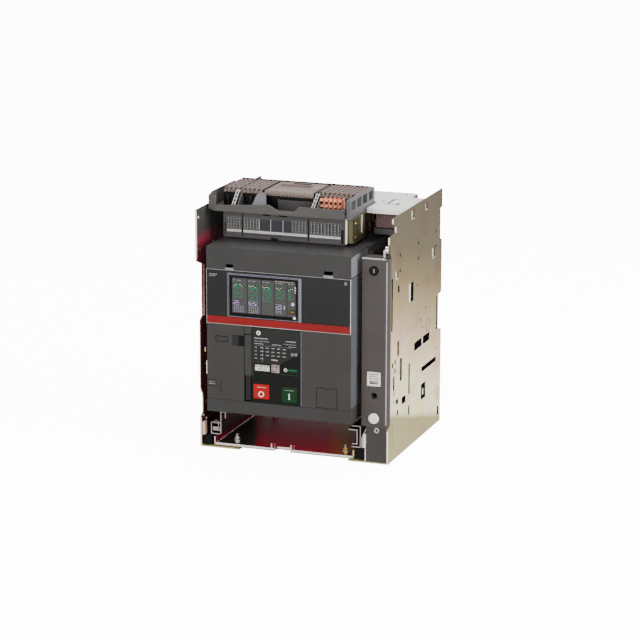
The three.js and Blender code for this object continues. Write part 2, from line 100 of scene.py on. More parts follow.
def object_coords(tree, target, stretch=(1, 1, 1)):
    coords = tree.nodes.new("ShaderNodeTexCoord")
    mapping = tree.nodes.new("ShaderNodeMapping")
    mapping.inputs["Scale"].default_value = stretch
    tree.links.new(coords.outputs["Object"], mapping.inputs["Vector"])
    tree.links.new(mapping.outputs["Vector"], target.inputs["Vector"])


def ramp(tree, stops):
    node = tree.nodes.new("ShaderNodeValToRGB")
    elements = node.color_ramp.elements
    while len(elements) < len(stops):
        elements.new(0.5)
    for element, (position, color) in zip(elements, stops):
        element.position = position
        element.color = (*color, 1)
    return node


def srgb(r, g, b):
    """Display colour 0-255 as linear values."""
    return tuple(((c / 255 + 0.055) / 1.055) ** 2.4 if c > 10 else c / 255 / 12.92 for c in (r, g, b))


def flat(color):
    """Stops of one colour."""
    return [(0.0, color), (1.0, color)]


def drifting(tree, color, variation, factor):
    """A colour that drifts a little darker and lighter with a noise."""
    low, high = (tuple(min(1.0, c * k) for c in color) for k in (1 - variation, 1 + variation))
    colors = ramp(tree, [(0.3, low), (0.7, high)])
    tree.links.new(factor, colors.inputs["Fac"])
    return colors.outputs["Color"]


def bump(tree, shader, height, strength, distance):
    node = tree.nodes.new("ShaderNodeBump")
    node.inputs["Strength"].default_value = strength
    node.inputs["Distance"].default_value = distance
    tree.links.new(height, node.inputs["Height"])
    tree.links.new(node.outputs["Normal"], shader.inputs["Normal"])


def range_of(tree, value, low, high):
    node = tree.nodes.new("ShaderNodeMapRange")
    node.inputs["To Min"].default_value = low
    node.inputs["To Max"].default_value = high
    tree.links.new(value, node.inputs["Value"])
    return node.outputs["Result"]


def plastic(name, color, roughness=0.45, grain=0.12, variation=0.08, grain_scale=1600.0, gloss=0.22):
    """Moulded plastic: fine spark texture, faint colour drift and uneven gloss."""
    mat, tree, shader = new_material(name)
    drift = noise(tree, 22.0, 5.0)
    object_coords(tree, drift)
    tree.links.new(drifting(tree, color, variation, drift.outputs["Fac"]), shader.inputs["Base Color"])
    tree.links.new(range_of(tree, drift.outputs["Fac"], roughness * 0.85, roughness * 1.15),
              shader.inputs["Roughness"])
    spark = noise(tree, grain_scale, 2.0)
    object_coords(tree, spark)
    bump(tree, shader, spark.outputs["Fac"], grain, 0.0002)
    shader.inputs["Specular IOR Level"].default_value = gloss
    return mat


def facing(tree, axis, sign):
    """1 where the surface faces one way along an axis, else 0."""
    geometry = tree.nodes.new("ShaderNodeNewGeometry")
    split = tree.nodes.new("ShaderNodeSeparateXYZ")
    tree.links.new(geometry.outputs["Normal"], split.inputs["Vector"])
    face = tree.nodes.new("ShaderNodeMapRange")
    face.inputs["From Min"].default_value = 0.6 * sign
    face.inputs["From Max"].default_value = 0.9 * sign
    tree.links.new(split.outputs[axis], face.inputs["Value"])
    return face.outputs["Result"]


def mixed(tree, factor, first, second, blend="MIX"):
    """Mix of a socket with another socket or with a plain colour; the factor is a socket or a number."""
    mix = tree.nodes.new("ShaderNodeMix")
    mix.data_type = "RGBA"
    mix.blend_type = blend
    if isinstance(factor, float):
        mix.inputs["Factor"].default_value = factor
    else:
        tree.links.new(factor, mix.inputs["Factor"])
    tree.links.new(first, mix.inputs["A"])
    if isinstance(second, tuple):
        mix.inputs["B"].default_value = (*second, 1)
    else:
        tree.links.new(second, mix.inputs["B"])
    return mix.outputs["Result"]


def along(tree, axes, start, end):
    """0 to 1 from start to end along a slanted direction given as axis weights, with a noisy edge."""
    coords = tree.nodes.new("ShaderNodeTexCoord")
    dot = tree.nodes.new("ShaderNodeVectorMath")
    dot.operation = "DOT_PRODUCT"
    dot.inputs[1].default_value = axes
    tree.links.new(coords.outputs["Object"], dot.inputs[0])
    cloud = noise(tree, 16.0, 6.0, 0.6)
    object_coords(tree, cloud)
    shift = tree.nodes.new("ShaderNodeMath")
    shift.operation = "MULTIPLY_ADD"
    shift.inputs[1].default_value = EDGE_WOBBLE
    tree.links.new(cloud.outputs["Fac"], shift.inputs[0])
    tree.links.new(dot.outputs["Value"], shift.inputs[2])
    place_on = tree.nodes.new("ShaderNodeMapRange")
    place_on.inputs["From Min"].default_value = start + EDGE_WOBBLE / 2
    place_on.inputs["From Max"].default_value = end + EDGE_WOBBLE / 2
    tree.links.new(shift.outputs["Value"], place_on.inputs["Value"])
    return place_on.outputs["Result"]


FILM_STOPS = [(0.34, (0.86, 0.7, 0.74)), (0.44, (1.0, 0.89, 0.88)), (0.5, (1, 1, 1)),
              (0.57, (0.92, 0.98, 0.8)), (0.64, (1.0, 0.92, 0.66)), (0.72, (0.72, 0.7, 0.62))]
SHEET_AXES = (0, 0.25, 1)                 # the sheets' colour changes with height and a little to the rear
SHEET_SPAN = (-0.02, 0.36)
EDGE_WOBBLE = 0.012
SHEET_METALLIC = 0.38


def zinc(name, stops, film_strength=0.9, inner=None):
    """Zinc-plated, yellow-passivated sheet: colour that changes along its height, rainbow film, rolled
    streaks.

    inner is (axis, axes, start, end, stops): a wine-red gloss on the faces that look along the axis."""
    mat, tree, shader = new_material(name)
    base = ramp(tree, stops)
    tree.links.new(along(tree, SHEET_AXES, *SHEET_SPAN), base.inputs["Fac"])
    tint = noise(tree, 15.0, 4.0, 0.6)
    object_coords(tree, tint, (1, 0.8, 1.3))
    film = ramp(tree, FILM_STOPS)
    tree.links.new(tint.outputs["Fac"], film.inputs["Fac"])
    color = mixed(tree, film_strength, base.outputs["Color"], film.outputs["Color"], "MULTIPLY")
    shader.inputs["Metallic"].default_value = SHEET_METALLIC
    streaks = noise(tree, 40.0, 3.0)
    object_coords(tree, streaks, (1, 12, 0.5))
    if inner:
        axis, inner_axes, start, end, inner_stops = inner
        wine = ramp(tree, inner_stops)
        tree.links.new(along(tree, inner_axes, start, end), wine.inputs["Fac"])
        face = facing(tree, axis, 1)
        color = mixed(tree, face, color, wine.outputs["Color"])
        tree.links.new(range_of(tree, face, SHEET_METALLIC, 0.0), shader.inputs["Metallic"])
        tree.links.new(range_of(tree, face, 0.5, 0.06), shader.inputs["Specular IOR Level"])
    tree.links.new(color, shader.inputs["Base Color"])
    tree.links.new(range_of(tree, streaks.outputs["Fac"], 0.32, 0.48), shader.inputs["Roughness"])
    bump(tree, shader, streaks.outputs["Fac"], 0.06, 0.0003)
    return mat


def metal(name, color, roughness=0.3, scale=300.0, stretch=(1, 1, 1), variation=0.1, cut_end=None):
    """Machined or plated metal with fine marks; cut_end is the tint of faces that look forward."""
    mat, tree, shader = new_material(name)
    marks = noise(tree, scale, 4.0)
    object_coords(tree, marks, stretch)
    tinted = drifting(tree, color, variation, marks.outputs["Fac"])
    shader.inputs["Metallic"].default_value = 1.0
    if cut_end:
        face = facing(tree, "Y", -1)
        tinted = mixed(tree, face, tinted, cut_end)
        tree.links.new(range_of(tree, face, 1.0, 0.0), shader.inputs["Metallic"])
    tree.links.new(tinted, shader.inputs["Base Color"])
    tree.links.new(range_of(tree, marks.outputs["Fac"], roughness * 0.75, roughness * 1.3),
              shader.inputs["Roughness"])
    bump(tree, shader, marks.outputs["Fac"], 0.08, 0.0002)
    return mat


PLATE_STOPS = [(0.0, srgb(180, 170, 122)), (0.155, srgb(172, 162, 114)), (0.178, srgb(255, 248, 206)),
               (0.3, srgb(255, 246, 206)), (0.4, srgb(240, 212, 180)), (0.54, srgb(184, 160, 124)),
               (0.68, srgb(130, 114, 76)), (0.8, srgb(96, 84, 58)), (1.0, srgb(84, 72, 50))]
WALL_STOPS = [(0.0, srgb(46, 14, 18)), (0.1, srgb(92, 20, 28)), (0.5, srgb(104, 30, 42)),
              (0.84, srgb(112, 32, 48)), (0.9, srgb(54, 50, 50)), (1.0, srgb(58, 60, 58))]
# Crimson of the pan's floor; the dark grey stretch from 0.1 to 0.28 is painted shade on its left part.
FLOOR_STOPS_WITH_PAINTED_SHADE = [(0.0, srgb(70, 30, 36)), (0.1, srgb(50, 46, 44)), (0.28, srgb(54, 42, 42)),
               (0.31, srgb(150, 18, 44)), (0.78, srgb(160, 18, 42)), (0.84, srgb(164, 62, 28)),
               (0.92, srgb(146, 78, 30)), (1.0, srgb(110, 30, 22))]

PLASTICS = {                              # name, colour, roughness, grain, variation, grain scale, gloss
    "casing": ("casing_grey", 51, 50, 49, 0.46, 0.16),
    "panel": ("panel_grey", 53, 51, 49, 0.42, 0.14),
    "pillar": ("pillar_grey", 67, 62, 59, 0.42, 0.14),
    "black": ("black_gloss", 31, 30, 30, 0.3, 0.05, 0.06, 1200.0),
    "jet": ("jet_black", 9, 9, 10, 0.5, 0.08, 0.08, 1600.0, 0.12),
    "nameplate": ("nameplate_black", 11, 12, 10, 0.26, 0.03, 0.06, 900.0),
    "print_grey": ("print_grey", 30, 32, 30, 0.34, 0.03, 0.06, 900.0),
    "frame": ("frame_lilac", 118, 118, 130, 0.33, 0.06, 0.06, 1200.0, 0.35),
    "face": ("trip_face", 64, 63, 62, 0.5, 0.05),
    "white": ("white_print", 236, 234, 230, 0.5, 0.04, 0.05),
    "label": ("label_white", 236, 230, 222, 0.55, 0.05, 0.05),
    # Pale label grey, also used for painted light seen through the right plate's slots.
    "pale_label_and_slot_light": ("label_grey", 204, 202, 200, 0.5, 0.05),
    "pale": ("pale_grey", 176, 174, 172, 0.5, 0.06),
    "legend_green": ("legend_green", 34, 112, 82, 0.5, 0.03),
    "legend_lilac": ("legend_lilac", 136, 130, 196, 0.45, 0.03),
    "lilac": ("lilac_button", 186, 180, 240, 0.3, 0.03, 0.05, 900.0, 0.4),
    "stripe": ("stripe_red", 124, 15, 15, 0.36, 0.04, 0.05, 900.0),
    "red": ("button_red", 160, 8, 8, 0.36, 0.05, 0.06, 900.0),
    "green": ("button_green", 2, 46, 14, 0.36, 0.05, 0.06, 900.0),
    # Pale print grey, also used for a painted glint in the key slot.
    "print": ("print_pale", 150, 150, 148, 0.5, 0.04),
    "coded": ("coded_label", 150, 134, 138, 0.5, 0.04),
    "divider": ("divider_grey", 104, 104, 108, 0.4, 0.04),
    # Lighter copies of the casing for the case's right side: painted light.
    "side_top": ("casing_side_top", 104, 104, 106, 0.46, 0.14),
    "side_painted_light": ("casing_side", 76, 76, 78, 0.46, 0.14),
    "cream": ("cream_print", 240, 206, 180, 0.45, 0.03),
    "hood": ("hood_grey", 74, 72, 70, 0.5, 0.16, 0.1),
    "fascia": ("fascia_grey", 68, 66, 65, 0.5, 0.14),
    "socket": ("socket_grey", 98, 97, 95, 0.5, 0.08),
    "window": ("window_blue", 38, 40, 46, 0.14, 0.02, 0.05, 900.0, 0.5),
    "terminal": ("terminal_pink", 124, 109, 103, 0.52, 0.1),
    "terminal_dull": ("terminal_dull", 96, 84, 80, 0.55, 0.1),
    "scoop": ("scoop_grey", 86, 86, 88, 0.42, 0.1),
    "orange": ("terminal_orange", 212, 124, 92, 0.45, 0.06),
    # Crimson of the pan's rim, also used for painted shade on the pan's tabs.
    "crimson": ("crimson_film", 116, 14, 48, 0.4, 0.04, 0.15, 300.0, 0.1),
    # Black for painted shade inside the right plate's windows.
    "soot": ("soot_black", 8, 8, 9, 0.8, 0.02, 0.05, 900.0, 0.0),
    # Wine red of the shutters, also used for a painted shadow strip at the left plate's edge.
    "wine": ("wine_insulator", 92, 8, 18, 0.3, 0.08, 0.25, 500.0, 0.4),
    "mottled": ("mottled_brown", 156, 128, 124, 0.6, 0.4, 0.5, 90.0),
    "peach": ("peach_pad", 232, 196, 176, 0.45, 0.05),
    # Near-white colour for painted highlights on edges.
    "cut_edge": ("cut_edge", 246, 236, 216, 0.4, 0.05, 0.05, 900.0, 0.4),
    "pillar_dark": ("pillar_dark", 56, 54, 53, 0.44, 0.14),
    # Lighter edge colour for a painted highlight on the pillar.
    "pillar_edge": ("pillar_edge", 170, 160, 164, 0.42, 0.1),
    "brown": ("brown_moulding", 92, 62, 58, 0.55, 0.3, 0.35, 160.0),
    "disc": ("plug_yellow", 206, 192, 134, 0.4, 0.06, 0.1, 600.0, 0.4),
}
MATS = {key: plastic(name, srgb(r, g, b), *rest) for key, (name, r, g, b, *rest) in PLASTICS.items()}
MATS |= {
    "zinc_plate": zinc("zinc_plate", PLATE_STOPS),
    "zinc_left": zinc("zinc_left", PLATE_STOPS, inner=("X", (0, 0, 1), 0.0, 0.345, WALL_STOPS)),
    "zinc_floor": zinc("zinc_floor", flat(srgb(214, 202, 176)),
                       inner=("Z", (1, 0.36, 0), -0.16, 0.06, FLOOR_STOPS_WITH_PAINTED_SHADE)),
    # Pale zinc, also used for painted highlights on window, plate and pan edges.
    "zinc_pale_and_highlight": zinc("zinc_pale_and_highlight", flat(srgb(250, 247, 246)), film_strength=0.2),
    "zinc_olive": zinc("zinc_olive", [(0.0, srgb(90, 87, 60)), (1.0, srgb(84, 80, 56))]),
    "rail": metal("rail_steel", srgb(92, 82, 76), 0.36, 120.0, (1, 0.1, 1), cut_end=srgb(150, 140, 134)),
    # Dark rail steel, also used for a painted shade line under the pan's front edge.
    "rail_dark_and_edge_shade": metal("rail_dark_and_edge_shade", srgb(44, 40, 38), 0.4, 120.0, (1, 0.1, 1)),
    "steel": metal("machined_steel", srgb(150, 150, 152), 0.32, 260.0, (1, 0.15, 1)),
    "nickel": metal("nickel_plate", srgb(212, 208, 202), 0.22, 400.0),
    "brass": metal("brass_yellow", srgb(196, 168, 96), 0.28, 400.0),
    "silvered": metal("silvered_copper", srgb(206, 200, 190), 0.3, 160.0, (1, 0.2, 1), 0.14),
}


# ---------------------------------------------------------------- building pieces

def link(name, data):
    thing = bpy.data.objects.new(name, data)
    bpy.context.scene.collection.objects.link(thing)
    return thing


def add_bevel(piece, width):
    mod = piece.modifiers.new("bevel", "BEVEL")
    mod.width = width * MM
    mod.segments = 2
    mod.limit_method = "ANGLE"
    mod.angle_limit = math.radians(32)
    mod.harden_normals = True
    weighted = piece.modifiers.new("normals", "WEIGHTED_NORMAL")
    weighted.keep_sharp = True


def make_piece(name, mesh, mat, body, smooth=35, bevel=0.0):
    """A visible piece on a body, with soft edges or with edges split above the smooth angle."""
    piece = link(name, mesh)
    mesh.materials.clear()
    mesh.materials.append(MATS[mat])
    for polygon in mesh.polygons:
        polygon.use_smooth = True
    if bevel:
        add_bevel(piece, bevel)
    else:
        split = piece.modifiers.new("edges", "EDGE_SPLIT")
        split.split_angle = math.radians(smooth)
    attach(piece, body)
    return piece


def finish_mesh(name, bm, mat, body="cradle", bevel=0.0):
    """Turns a bmesh in millimetres into a piece that rides on a body."""
    bmesh.ops.recalc_face_normals(bm, faces=bm.faces)
    mesh = bpy.data.meshes.new(name)
    bm.to_mesh(mesh)
    bm.free()
    mesh.transform(Matrix.Scale(MM, 4))
    return make_piece(name, mesh, mat, body, bevel=bevel)


def add_box(bm, x0, x1, y0, y1, z0, z1):
    size = Matrix.Diagonal((x1 - x0, y1 - y0, z1 - z0, 1))
    centre = Matrix.Translation(((x0 + x1) / 2, (y0 + y1) / 2, (z0 + z1) / 2))
    bmesh.ops.create_cube(bm, size=1.0, matrix=centre @ size)


AXES = {
    "X": Matrix.Rotation(math.pi / 2, 4, "Y"),
    "Y": Matrix.Rotation(math.pi / 2, 4, "X"),
    "Z": Matrix.Identity(4),
}


def add_rod(bm, axis, centre, radius, length, sides=32):
    """A cylinder with its middle at centre."""
    turn = Matrix.Translation(centre) @ AXES[axis]
    bmesh.ops.create_cone(bm, cap_ends=True, segments=sides, radius1=radius, radius2=radius,
                          depth=length, matrix=turn)


def skin(bm, rings):
    """Faces between neighbouring closed rings of vertices."""
    for lower, upper in zip(rings, rings[1:]):
        count = len(lower)
        for i in range(count):
            j = (i + 1) % count
            bm.faces.new((lower[i], lower[j], upper[j], upper[i]))


def cap(bm, rings):
    bm.faces.new(rings[0][::-1])
    bm.faces.new(rings[-1])


def turned(bm, axis, centre, profile, sides):
    """Rings of vertices about an axis, one for each (radius, height)."""
    turn = Matrix.Translation(centre) @ AXES[axis]
    angles = [2 * math.pi * i / sides for i in range(sides)]
    return [[bm.verts.new(turn @ Vector((radius * math.cos(a), radius * math.sin(a), height)))
             for a in angles] for radius, height in profile]


def add_lathe(bm, axis, centre, profile, sides=40):
    """Turns an open (radius, height) profile about an axis; both ends are on the axis or are capped."""
    rings = turned(bm, axis, centre, profile, sides)
    skin(bm, rings)
    cap(bm, rings)


def add_ring(bm, axis, centre, outer, inner, thickness, sides=40):
    """A flat washer: a closed ring of square section."""
    half = thickness / 2
    profile = [(outer, -half), (outer, half), (inner, half), (inner, -half)]
    rings = turned(bm, axis, centre, profile, sides)
    skin(bm, rings + rings[:1])


def add_prism(bm, plane, outline, low, high):
    """Extrudes an outline: plane 'XZ' along y, 'YZ' along x, 'XY' along z."""
    def point(u, v, w):
        if plane == "XZ":
            return (u, w, v)
        if plane == "YZ":
            return (w, u, v)
        return (u, v, w)
    bottom = [bm.verts.new(point(u, v, low)) for u, v in outline]
    top = [bm.verts.new(point(u, v, high)) for u, v in outline]
    bm.faces.new(bottom)
    bm.faces.new(top[::-1])
    count = len(outline)
    for i in range(count):
        j = (i + 1) % count
        bm.faces.new((bottom[i], top[i], top[j], bottom[j]))


def add_frame(bm, x0, x1, z0, z1, width, y0, y1):
    """A picture frame in the XZ plane as four bars."""
    add_box(bm, x0, x1, y0, y1, z1 - width, z1)
    add_box(bm, x0, x1, y0, y1, z0, z0 + width)
    add_box(bm, x0, x0 + width, y0, y1, z0 + width, z1 - width)
    add_box(bm, x1 - width, x1, y0, y1, z0 + width, z1 - width)


def shapes(name, add, rows, mat, body="cradle", bevel=0.0):
    """One piece out of many shapes of one kind; rows hold what the add function takes."""
    bm = bmesh.new()
    for row in rows:
        add(bm, *row)
    return finish_mesh(name, bm, mat, body, bevel)


def boxes(name, rows, mat, body="cradle", bevel=0.0):
    """One piece out of many boxes, each x0, x1, y0, y1, z0, z1."""
    return shapes(name, add_box, rows, mat, body, bevel)


def dashes(rows, front, depth=0.15):
    """Short printed bars: rows of (x0, x1, z, bar height, [lengths and gaps])."""
    out = []
    for x0, x1, z, height, pattern in rows:
        x = x0
        k = 0
        while x < x1:
            step = pattern[k % len(pattern)]
            if k % 2 == 0:
                out.append((x, min(x + step, x1), front - depth, front, z, z + height))
            x += step
            k += 1
    return out


def tube(name, points, radius, mat, body, resolution=3):
    """A round wire along points in millimetres."""
    curve = bpy.data.curves.new(name, "CURVE")
    curve.dimensions = "3D"
    curve.bevel_depth = radius * MM
    curve.bevel_resolution = resolution
    curve.use_fill_caps = True
    spline = curve.splines.new("POLY")
    spline.points.add(len(points) - 1)
    for target, point in zip(spline.points, points):
        target.co = (point[0] * MM, point[1] * MM, point[2] * MM, 1)
    temp = link(name + "_path", curve)
    bpy.context.view_layer.update()
    graph = bpy.context.evaluated_depsgraph_get()
    mesh = bpy.data.meshes.new_from_object(temp.evaluated_get(graph))
    bpy.data.objects.remove(temp)
    bpy.data.curves.remove(curve)
    return make_piece(name, mesh, mat, body, smooth=40)


# ---------------------------------------------------------------- CAD nodes: edges and finishes

def dress(node, mat, bevel):
    """Gives a CAD node its material and soft edges; its mesh is left as it is."""
    piece = NODES[node]
    piece.data.materials.clear()
    piece.data.materials.append(MATS[mat])
    for polygon in piece.data.polygons:
        polygon.use_smooth = True
        polygon.material_index = 0
    weld = piece.modifiers.new("weld", "WELD")
    weld.merge_threshold = 0.00001
    flat = piece.modifiers.new("flat", "DECIMATE")
    flat.decimate_type = "DISSOLVE"
    flat.angle_limit = math.radians(1.5)
    add_bevel(piece, bevel)


FINISHES = {
    "zinc_plate": ["side_plate_right", "spindle_bracket", "mechanism_frame"],
    "zinc_olive": ["terminal_bracket"],
    "zinc_left": ["side_plate_left"],
    "zinc_floor": ["floor_pan"],
    "zinc_pale_and_highlight": ["cross_plate"],
    "rail": ["fixed_rail_left", "fixed_rail_right", "sliding_rail_left", "sliding_rail_right"],
    "brown": ["rear_base"],
    "wine": ["upper_shutter", "lower_shutter"],
    "pillar": ["pillar_cover"],
    "nickel": ["lock_body"],
    "rail_dark_and_edge_shade": ["racking_spindle"],
    "steel": ["racking_carriage", "charging_gear", "closing_spring", "main_shaft"],
    "label": ["position_indicator", "release_button", "spring_flag"],
    "fascia": ["terminal_box"],
    "hood": ["terminal_hood"],
    "scoop": ["terminal_end_wall"],
    "terminal": ["terminal_block_left", "terminal_block_middle", "terminal_block_right"],
    "orange": ["push_in_terminals"],
    "casing": ["front_casing", "breaker_base"],
    "panel": ["lower_left_panel", "lower_right_panel", "access_door", "charging_lever"],
    "black": ["upper_fascia"],
    "nameplate": ["nameplate"],
    "jet": ["key_lock", "trip_unit", "reset_button"],
    "lilac": ["trip_test_button"],
    "stripe": ["stripe_band"],
    "red": ["off_button"],
    "green": ["on_button", "contact_flag"],
}


def dress_cad_nodes():
    thin = {"upper_fascia", "stripe_band", "lower_left_panel", "lower_right_panel", "access_door",
            "spring_flag", "contact_flag", "nameplate", "trip_unit"}
    for mat, names in FINISHES.items():
        for node in names:
            dress(node, mat, 0.25 if node in thin else 0.5)
    for node in NODES:
        if node.startswith(("upper_terminal", "lower_terminal", "upper_jaw", "lower_jaw")):
            dress(node, "silvered", 0.5)


# ---------------------------------------------------------------- camera, lights and floor

def set_camera():
    """Stands where the photograph was taken: to the right of the front and a little above."""
    azimuth = math.radians(19.85)
    elevation = math.radians(14.0)
    distance = 3.997
    target = Vector((0, PILLAR.y * MM, 0.180))
    away = Vector((math.sin(azimuth) * math.cos(elevation), -math.cos(azimuth) * math.cos(elevation),
                   math.sin(elevation)))
    data = bpy.data.cameras.new("camera")
    data.lens = 162.9
    data.sensor_width = 36.0
    data.shift_x = 0.042
    data.shift_y = 0.016
    data.clip_end = 50
    camera = link("camera", data)
    camera.location = target + away * distance
    camera.rotation_euler = (-away).to_track_quat("-Z", "Y").to_euler()
    bpy.context.scene.camera = camera


def area_light(name, location, aim, size, power):
    data = bpy.data.lights.new(name, "AREA")
    data.shape = "RECTANGLE"
    data.size, data.size_y = size
    data.energy = power
    light = link(name, data)
    light.location = location
    light.rotation_euler = (Vector(aim) - Vector(location)).to_track_quat("-Z", "Y").to_euler()


def set_studio():
    """Pale floor, even surround and five soft lights."""
    bm = bmesh.new()
    bmesh.ops.create_grid(bm, x_segments=1, y_segments=1, size=8)
    mesh = bpy.data.meshes.new("floor")
    bm.to_mesh(mesh)
    bm.free()
    floor = link("floor", mesh)
    floor.location.z = -0.0005
    mat, _, shader = new_material("floor_white")
    shader.inputs["Base Color"].default_value = (0.95, 0.95, 0.94, 1)
    shader.inputs["Roughness"].default_value = 0.9
    shader.inputs["Emission Color"].default_value = (1, 0.995, 0.985, 1)
    shader.inputs["Emission Strength"].default_value = 12.0
    mesh.materials.append(mat)
    floor.visible_diffuse = False
    floor.visible_glossy = False
    world = bpy.data.worlds.new("studio")
    world.use_nodes = True
    background = world.node_tree.nodes["Background"]
    background.inputs["Color"].default_value = (1.0, 0.995, 0.985, 1)
    background.inputs["Strength"].default_value = 0.8
    bpy.context.scene.world = world
    area_light("key", (2.3, -0.4, 0.9), (0, 0, 0.18), (1.0, 1.4), 90)
    area_light("front", (-0.5, -2.4, 0.9), (0, 0, 0.18), (1.4, 1.2), 34)
    area_light("front_right", (1.5, -2.6, 0.8), (0, 0, 0.18), (1.0, 1.2), 16)
    area_light("low", (0, -1.6, 0.16), (0, 0, 0.04), (0.7, 0.14), 3)
    area_light("top", (0.1, 0.4, 2.2), (0, 0, 0.2), (1.6, 1.0), 46)


set_camera()
set_studio()
dress_cad_nodes()


# ---------------------------------------------------------------- breaker front: trip unit

def face_boxes(rows, depth=0.2, front=None):
    """Thin raised areas on the breaker face: rows of x0, x1, z0, z1."""
    y = FACE if front is None else front
    return [(x0, x1, y, y + depth, z0, z1) for x0, x1, z0, z1 in rows]


TRIP_LOW, TRIP_HIGH = TRIP
TRIP_GLASS = FACE + 1.6                   # floor of the recess inside the trip unit's frame
TRIP_PRINT = TRIP_GLASS - 0.6             # printed face of the trip unit's columns
PRINT = 0.12                              # thickness of its printed marks
COLUMNS = [-79.5, -57.5, -37, -18, 0.5]   # left edges of the five columns of settings
COLUMN_END = 13.5


def trip_face():
    """Black margin and the five grey columns of the trip unit."""
    x0, x1 = TRIP_LOW.x + 4.2, TRIP_HIGH.x - 4.2
    z0, z1 = TRIP_LOW.z + 4.2, TRIP_HIGH.z - 4.2
    boxes("trip_border", [(x0, x1, TRIP_GLASS - 0.3, TRIP_GLASS, z0, z1)], "jet", "breaker")
    ends = COLUMNS[1:] + [COLUMN_END]
    cells = []
    for k, (left, right) in enumerate(zip(COLUMNS, ends)):
        start = x0 + 0.8 if k == 0 else left + 0.35
        end = x1 - 0.8 if k == len(ends) - 1 else right - 0.35
        cells.append((start, end, TRIP_PRINT, TRIP_GLASS - 0.3, z0 + 1.6, z1 - 0.7))
    boxes("trip_columns", cells, "face", "breaker", bevel=0.12)


def trip_legends():
    """Green tables over lilac ones, as small printed ticks beside each row of switches."""
    front = TRIP_PRINT
    rng = random.Random(7)
    green, lilac, white = [], [], []
    for left, width, rows in zip(COLUMNS, (16, 15, 15, 14, 8), (5, 6, 6, 4, 4)):
        for r in range(rows):
            z = 239.2 - r * 3.1
            for c in range(int(width / 2.7)):
                x = left + 2.0 + c * 2.75
                wide = 1.2 + 0.9 * rng.random()
                if rng.random() < 0.88:
                    green.append((x, x + wide, front - PRINT, front, z, z + 1.5))
        white.append((left + 2, left + 3.6, front - PRINT, front, 250.6, 251.6))
        white.append((left + 6, left + 6 + width * 0.4, front - PRINT, front, 250.7, 251.3))
    for left, rows, columns in ((COLUMNS[0], 4, 5), (COLUMNS[1], 4, 5), (COLUMNS[3], 3, 3)):
        for r in range(rows):
            for c in range(columns):
                x = left + 2.2 + c * 3.1
                target = lilac if (r + c) % 3 == 0 else white
                target.append((x, x + 1.5, front - PRINT, front, 214.0 - r * 2.5, 215.0 - r * 2.5))
    white += [(-17 + i * 4.0, -14.4 + i * 4.0, front - PRINT, front, 253.2, 254.3) for i in range(7)]
    boxes("legends_green", green, "legend_green", "breaker")
    boxes("legends_lilac", lilac, "legend_lilac", "breaker")
    boxes("legends_white", white, "print", "breaker")


def dip_switches():
    """Banks of slide switches: a black block with one pale slider for each way."""
    front = TRIP_PRINT
    banks = [(-77.4, 6.6, 242.7, 3), (-68.6, 4.6, 242.7, 2), (-55.4, 11, 242.4, 5), (-35.2, 11, 242.4, 5),
             (-15.6, 8.6, 242.0, 4), (2.6, 7.4, 242.0, 3), (-77.6, 7.2, 218.0, 3), (-55.4, 11.6, 218.2, 5),
             (-15.4, 7.6, 217.0, 3)]
    bodies, sliders, tints = [], [], []
    for x, width, z, ways in banks:
        bodies.append((x, x + width, front - 1.3, front, z, z + 3.4))
        tints.append((x - 0.7, x + width + 0.7, front - 0.25, front, z - 1.4, z + 4.2))
        pitch = width / ways
        for w in range(ways):
            shift = 1.5 if (w * 7 + ways) % 3 else 0.4
            x0 = x + w * pitch + pitch * 0.28
            sliders.append((x0, x0 + pitch * 0.44, front - 1.75, front - 1.2, z + shift, z + shift + 1.3))
    boxes("dip_bodies", bodies, "jet", "breaker", bevel=0.15)
    boxes("dip_sliders", sliders, "cream", "breaker")
    boxes("dip_fields_green", tints[:6], "legend_green", "breaker")
    boxes("dip_fields_lilac", tints[6:], "legend_lilac", "breaker")


def trip_right_column():
    """Indicator lamps and the test connector."""
    front = TRIP_PRINT
    bm = bmesh.new()
    for x, z, r in [(12.6, 246.6, 1.0), (12.6, 243.0, 1.0), (12.6, 239.6, 0.8), (11.4, 203.9, 2.1),
                    (-45.4, 220.0, 0.7), (-45.4, 217.6, 0.7), (-3.4, 218.8, 0.7), (-3.4, 216.4, 0.7)]:
        add_lathe(bm, "Y", (x, front - 0.3, z), [(r, -0.4), (r, 0.3), (r * 0.7, 0.75)], 20)
    finish_mesh("indicator_lamps", bm, "white", "breaker")
    boxes("test_connector", [(4.2, 12.6, front - 0.9, front, 209.8, 214.6)], "jet", "breaker", bevel=0.3)
    boxes("test_connector_pins", [(5.2 + 1.5 * i, 5.8 + 1.5 * i, front - 1.1, front - 0.9, 211.0, 213.4)
                                  for i in range(5)], "brass", "breaker")


